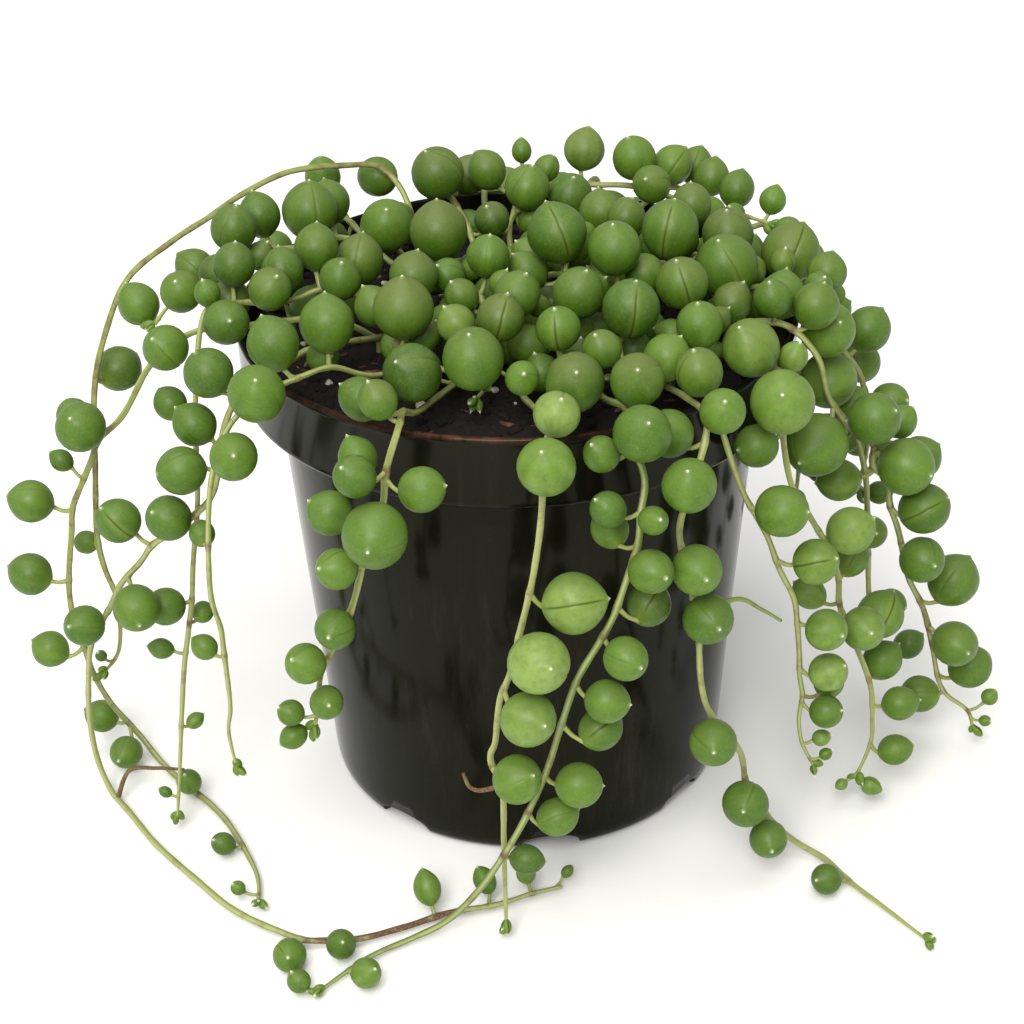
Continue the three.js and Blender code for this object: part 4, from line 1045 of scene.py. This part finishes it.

# %% [markdown]
# The pot is black polypropylene, injection moulded in a polished mould, so it is thin and very
# smooth. Clean, it would mirror what stands round it as its IOR says. A thin film of handling dust
# takes most of that away, so the specular level is set low, with a faint warm tint. Its black is a
# warm carbon black, never quite zero. Watering leaves dried drips that run down its sides. A
# reddish-brown band on the front of the lip is a painted highlight, where the lip catches the light.

# %% Pot plastic
def moulded_polypropylene():
    """Carbon-black polypropylene: IOR 1.49, glossy, with dust and dried drips on it."""
    material, tree = start_material("moulded_black_polypropylene")
    place = add_node(tree, "TexCoord").outputs["Object"]
    stained = add_node(tree, "Attribute", {"attribute_name": "stained"}).outputs["Fac"]
    drips_at = add_node(tree, "Mapping", Vector=place, Scale=(1, 1, 0.09))
    drips = add_node(tree, "TexNoise", Vector=drips_at, Scale=1 / (3.0 * MM), Detail=5.0, Roughness=0.65)
    film = add_node(tree, "TexNoise", Vector=place, Scale=1 / (28 * MM), Detail=4.0)
    specks = add_node(tree, "TexNoise", Vector=place, Scale=1 / (0.7 * MM), Detail=2.0)
    dripped = add_node(tree, "MapRange", Value=drips, From_Min=0.52, From_Max=0.78)
    filmed = add_node(tree, "MapRange", Value=film, From_Min=0.35, From_Max=0.75)
    dusty = add_node(tree, "Math", {"operation": "MULTIPLY"}, Value=dripped, Value_2=filmed)
    speck = add_node(tree, "MapRange", Value=specks, From_Min=0.68, From_Max=0.78, To_Max=0.35)
    dusty = add_node(tree, "Math", {"operation": "ADD", "use_clamp": True}, Value=dusty, Value_2=speck)
    faint = add_node(tree, "Math", {"operation": "MULTIPLY"}, Value=dusty, Value_2=0.22)
    black = add_node(tree, "Mix", {"data_type": "RGBA"}, Factor=faint, A="#10100a", B="#5c5445")
    # painted highlight: a reddish-brown band on the front of the lip, broken up by the drip noise, where
    # the lip catches the light
    marks = add_node(tree, "MapRange", Value=drips, From_Min=0.3, From_Max=0.6)
    lip = add_node(tree, "Math", {"operation": "MULTIPLY"}, Value=stained, Value_2=marks)
    skin = add_node(tree, "Mix", {"data_type": "RGBA"}, Factor=lip, A=black, B="#503028")
    gloss = add_node(tree, "MapRange", Value=dusty, To_Min=0.13, To_Max=0.34)
    waves = add_node(tree, "TexNoise", Vector=place, Scale=1 / (9 * MM), Detail=1.0)
    relief = add_node(tree, "Bump", Height=waves, Distance=0.12 * MM, Strength=0.25)
    shader = add_node(
        tree, "BsdfPrincipled", Base_Color=skin, Roughness=gloss, Normal=relief, IOR=1.49,
        Specular_IOR_Level=0.1, Specular_Tint="#f4f8d2",
    )
    add_node(tree, "OutputMaterial", Surface=shader)
    return material


pot_plastic = moulded_polypropylene()
print(pot_plastic.name, "has", len(pot_plastic.node_tree.nodes), "nodes")

# %% [markdown]
# The pot's shape is one thin wall turned round an axis, so its half outline is drawn once and spun.
# The outline has the round edges that a mould must have: a soft turn at the foot, a hollow corner
# under the collar, and a rolled lip. Eight arches are then cut at the foot, which let water out.

# %% Pot
pot_low, pot_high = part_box("pot")
RIM, TOP = pot_high.x / MM, pot_high.z / MM
FOOT = [(38.2, 0), (39.0, 0.15), (39.7, 0.6), (40.2, 1.5), (40.5, 3.2), (40.7, 6.0), (41.0, 10)]
SIDE = [(42.3, 28), (44.4, 54), (46.3, 78), (46.9, 86.3), (47.05, 87.2), (47.5, 87.6)]
COLLAR = [(52.7, 87.6), (53.2, 87.7), (53.45, 88.1), (53.5, 88.8), (53.72, 100.2), (53.9, 100.6)]
LIP = [(RIM, 101.1), (53.9, 101.6), (53.6, 101.9), (53.2, TOP), (52.8, 101.8), (52.6, 101.2)]
COLLAR_INSIDE = [(52.55, 89.4), (52.3, 88.9), (51.8, 88.8), (46.2, 88.8), (45.7, 88.2), (45.3, 84)]
SIDE_INSIDE = [(43.2, 54), (41.1, 28), (39.8, 8.2), (39.5, 5.0), (39.1, 2.8), (38.3, 1.7), (36, 1.4)]
FLOOR_THICK = 1.4
ARCHES, ARCH_TURN = 8, 0.13
ARCH_HALF, ARCH_SPRING, ARCH_RISE = 6, 1.2, 2.4
CUT_FROM, CUT_TO, CUT_BELOW = 34.0, 46.0, -2
# where the painted lip highlight sits: its height, half height, bearing in degrees and spread
LIP_HIGHLIGHT_HEIGHT, LIP_HIGHLIGHT_HALF, LIP_HIGHLIGHT_TURN, LIP_HIGHLIGHT_SPREAD = 101.8, 0.5, -105, 28
COLLAR_REACH = 52
TURNS = 180


def spin(outline, bottom, top):
    """A closed body of revolution from a half outline, with a middle corner for each end."""
    angle = 2 * math.pi * np.arange(TURNS) / TURNS
    corners = [[(r * math.cos(a), r * math.sin(a), z) for a in angle] for r, z in outline]
    corners = np.array(corners).reshape(-1, 3)
    corners = np.concatenate([corners, [[0, 0, bottom], [0, 0, top]]])
    return corners, tube_faces(len(outline), TURNS)


def cut_away(piece, cutters):
    """Cuts each cutter out of the piece for good and deletes the cutter."""
    for cutter in cutters:
        step = piece.modifiers.new("cut", "BOOLEAN")
        step.operation, step.solver, step.object = "DIFFERENCE", "EXACT", cutter
    bpy.context.view_layer.update()
    cut = bpy.data.meshes.new_from_object(piece.evaluated_get(bpy.context.evaluated_depsgraph_get()))
    piece.modifiers.clear()
    piece.data = cut
    for cutter in cutters:
        bpy.data.objects.remove(cutter)


def arch_cutter(angle):
    """A block with a rounded top, as wide as a drain arch, across the foot at that angle."""
    half_turn = np.linspace(0, math.pi, 13)
    outline = [(-ARCH_HALF, CUT_BELOW), (ARCH_HALF, CUT_BELOW)]
    outline += [(ARCH_HALF * math.cos(t), ARCH_SPRING + ARCH_RISE * math.sin(t)) for t in half_turn]
    near, far = [(CUT_FROM, y, z) for y, z in outline], [(CUT_TO, y, z) for y, z in outline]
    count = len(outline)
    faces = [tuple(range(count))[::-1], tuple(range(count, 2 * count))]
    faces += [(i, (i + 1) % count, (i + 1) % count + count, i + count) for i in range(count)]
    turned = np.array(near + far) @ np.array(Matrix.Rotation(-angle, 3, "Z"))
    return make_piece("arch_cutter", turned, faces, pot_plastic)


corners, faces = spin(FOOT + SIDE + COLLAR + LIP + COLLAR_INSIDE + SIDE_INSIDE, 0.0, FLOOR_THICK)
pot = make_piece("nursery_pot", corners, faces, pot_plastic)
cut_away(pot, [arch_cutter(2 * math.pi * (i + ARCH_TURN) / ARCHES) for i in range(ARCHES)])
place = np.array([v.co for v in pot.data.vertices]) / MM
outer = np.hypot(place[:, 0], place[:, 1]) > COLLAR_REACH
bearing = np.degrees(np.arctan2(place[:, 1], place[:, 0]))
# painted highlight: the band on the outer lip, at the front
front = np.exp(-(((bearing - LIP_HIGHLIGHT_TURN) / LIP_HIGHLIGHT_SPREAD) ** 2))
stained = np.exp(-(((place[:, 2] - LIP_HIGHLIGHT_HEIGHT) / LIP_HIGHLIGHT_HALF) ** 2)) * outer * front
layer = pot.data.attributes.new("stained", "FLOAT", "POINT")
layer.data.foreach_set("value", stained.astype(np.float32))
for polygon in pot.data.polygons:
    polygon.use_smooth = abs(polygon.normal.z) < 0.999
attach(pot, "root")
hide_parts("pot")
print("pot:", len(pot.data.polygons), "faces")

# %% [markdown]
# The peat is a heap of crumbs, damp and nearly black, with redder fibres, bits of bark and a few pale
# grains of perlite, which keep it airy. One bumpy body fills the pot, made from rings whose heights
# come from fractal noise, and loose pieces of each kind lie on top, where light catches them.

# %% Peat, bark and perlite finishes
def damp_peat():
    """Milled peat: matt, dark brown, lumpy from 0.3 to 3 mm."""
    material, tree = start_material("damp_milled_peat")
    place = add_node(tree, "TexCoord").outputs["Object"]
    lumps = add_node(tree, "TexNoise", Vector=place, Scale=1 / (2.2 * MM), Detail=6.0, Roughness=0.7)
    fibres = add_node(tree, "TexVoronoi", {"feature": "F1"}, Vector=place, Scale=1 / (0.9 * MM))
    stops = [(0.3, "#070504"), (0.5, "#120d0a"), (0.66, "#21160f"), (0.8, "#3c281a")]
    skin = add_node(tree, "ValToRGB", {"stops": stops}, Fac=lumps)
    near_fibre = fibres.outputs["Distance"]
    red = add_node(tree, "MapRange", Value=near_fibre, From_Max=0.25, To_Min=0.16, To_Max=0.0)
    skin = add_node(tree, "Mix", {"data_type": "RGBA"}, Factor=red, A=skin, B="#5a3424")
    relief = add_node(tree, "Bump", Height=lumps, Distance=0.8 * MM, Strength=0.9)
    shader = add_node(tree, "BsdfPrincipled", Base_Color=skin, Roughness=0.92, Normal=relief, IOR=1.4)
    add_node(tree, "OutputMaterial", Surface=shader)
    return material


def grainy(name, stops, size_mm, roughness):
    """A matt natural grain whose colour follows noise of about that size."""
    material, tree = start_material(name)
    place = add_node(tree, "TexCoord").outputs["Object"]
    patches = add_node(tree, "TexNoise", Vector=place, Scale=1 / (size_mm * MM), Detail=4.0, Roughness=0.65)
    skin = add_node(tree, "ValToRGB", {"stops": stops}, Fac=patches)
    relief = add_node(tree, "Bump", Height=patches, Distance=0.3 * MM, Strength=0.8)
    shader = add_node(tree, "BsdfPrincipled", Base_Color=skin, Roughness=roughness, Normal=relief)
    add_node(tree, "OutputMaterial", Surface=shader)
    return material


peat = damp_peat()
bark = grainy("shredded_pine_bark", [(0.3, "#2b1a11"), (0.55, "#5f3b27"), (0.75, "#8d6244")], 1.2, 0.85)
perlite = grainy("expanded_perlite", [(0.3, "#8f8877"), (0.55, "#c9c3b4"), (0.75, "#e8e4da")], 0.8, 0.9)
print("three mix finishes")

# %% Peat body
PEAT_TOP, FLAT_REACH, PEAT_REACH = 96.9, 37, 52.0
PEAT_FLOOR = 5.4


def peat_height(x, y):
    """How high the peat stands, in millimetres: a low mound with crumbs."""
    rho = math.hypot(x, y)
    mound = PEAT_TOP - 1.6 * max(0.0, (rho - FLAT_REACH) / 15) ** 1.5
    spot = Vector((x, y, 0))
    broad = noise.fractal(spot / 9.0, 1.0, 2.0, 3)
    crumbs = noise.fractal(spot / 2.6 + Vector((7, 3, 1)), 0.9, 2.1, 4)
    return mound + 0.9 * broad + 0.75 * crumbs


rings = np.linspace(0.5, PEAT_REACH, 88)[::-1]
walls = [(34, PEAT_FLOOR), (36.5, 6.0), (38.8, 9), (40.4, 28)]
walls += [(42.4, 54), (44.3, 82), (44.9, 88.4), (51.9, 89.6)]
angle = 2 * math.pi * np.arange(TURNS) / TURNS
corners = [(r * math.cos(a), r * math.sin(a), z) for r, z in walls for a in angle]
for radius in rings:
    for a in angle:
        x, y = radius * math.cos(a), radius * math.sin(a)
        corners.append((x, y, peat_height(x, y)))
corners += [(0, 0, PEAT_FLOOR), (0, 0, peat_height(0, 0))]
body = make_piece("peat_mix", corners, tube_faces(len(walls) + len(rings), TURNS), peat)
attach(body, "root")
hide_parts("soil")
print("peat body:", len(body.data.polygons), "faces")

# %% Loose bits on the peat
LOOSE_REACH = 50.5
LUMPINESS, SUNK = 0.45, 0.18


def lump(size, squash, rng):
    """An irregular grain: a small ball with its corners pushed about."""
    ball = bmesh.new()
    bmesh.ops.create_icosphere(ball, subdivisions=2, radius=size / 2)
    shift = Vector((rng.uniform(0, 50), rng.uniform(0, 50), 0))
    for vertex in ball.verts:
        vertex.co *= 1 + LUMPINESS * noise.noise(vertex.co / size * 2.2 + shift)
        vertex.co.x *= squash[0]
        vertex.co.y *= squash[1]
        vertex.co.z *= squash[2]
    turned = Matrix.Rotation(rng.uniform(0, 6.3), 3, "Z") @ Matrix.Rotation(rng.gauss(0, 0.35), 3, "X")
    corners = np.array([turned @ v.co for v in ball.verts])
    faces = [tuple(v.index for v in f.verts) for f in ball.faces]
    ball.free()
    return corners, faces


def scatter(name, count, sizes, squash, material, seed):
    """Loose grains of one kind, spread over the peat and sunk a little into it."""
    rng = random.Random(seed)
    gathered = Growing([])
    for _ in range(count):
        rho, a = LOOSE_REACH * rng.random() ** 0.5, rng.uniform(0, 2 * math.pi)
        size = sizes[0] + (sizes[1] - sizes[0]) * rng.random() ** 2
        x, y = rho * math.cos(a), rho * math.sin(a)
        corners, faces = lump(size, squash, rng)
        gathered.add(corners + [x, y, peat_height(x, y) + SUNK * size * squash[2]], faces)
    piece = gathered.piece(name, material)
    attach(piece, "root")
    return piece


crumbs = scatter("peat_crumbs", 900, (0.7, 2.6), (1, 0.85, 0.75), peat, 3)
slivers = scatter("bark_slivers", 150, (1.4, 5.5), (1, 0.26, 0.2), bark, 5)
grains = scatter("perlite_grains", 60, (0.7, 2.4), (1, 0.9, 0.8), perlite, 9)
print("loose bits:", sum(len(p.data.polygons) for p in (crumbs, slivers, grains)), "faces")

# %% [markdown]
# Last comes the studio: a plain pale board, a soft lamp in front beside the camera, a wide one
# overhead, and an even white room. The front lamp rounds the leaves, light in the middle and deeper
# green at their outline, and sends their shadows back out of sight. What gloss the pot has left
# shows the board and the room.

# %% Floor and light
def pale_board():
    """Matt painted board, nearly white."""
    material, tree = start_material("matt_pale_board")
    shader = add_node(tree, "BsdfPrincipled", Base_Color="#f7f7f5", Roughness=0.7)
    add_node(tree, "OutputMaterial", Surface=shader)
    return material


FLOOR_HALF, FLOOR_LEVEL = 6000, -0.3
ways = ((-1, -1), (1, -1), (1, 1), (-1, 1))
edge = [(FLOOR_HALF * x, FLOOR_HALF * y, FLOOR_LEVEL) for x, y in ways]
floor = make_piece("floor", edge, [(0, 1, 2, 3)], pale_board())


def soft_lamp(name, place, size, power, colour):
    """A square soft box that faces the plant."""
    data = bpy.data.lights.new(name, "AREA")
    data.size, data.energy, data.color = size, power, linear(colour)[:3]
    lamp = bpy.data.objects.new(name, data)
    lamp.location = place
    lamp.rotation_euler = (Vector((0, 0, 0.06)) - Vector(place)).to_track_quat("-Z", "Y").to_euler()
    scene.collection.objects.link(lamp)


soft_lamp("front_soft_box", (-0.2, -0.98, 0.95), 0.6, 16, "#fffdfa")
soft_lamp("overhead_soft_box", (-0.2, -0.2, 1.45), 1.4, 16, "#fffdfa")
room = bpy.data.worlds.new("white_room")
room.use_nodes = True
room.node_tree.nodes.clear()
air = add_node(room.node_tree, "Background", Color="#ffffff", Strength=0.48)
add_node(room.node_tree, "OutputWorld", Surface=air)
scene.world = room
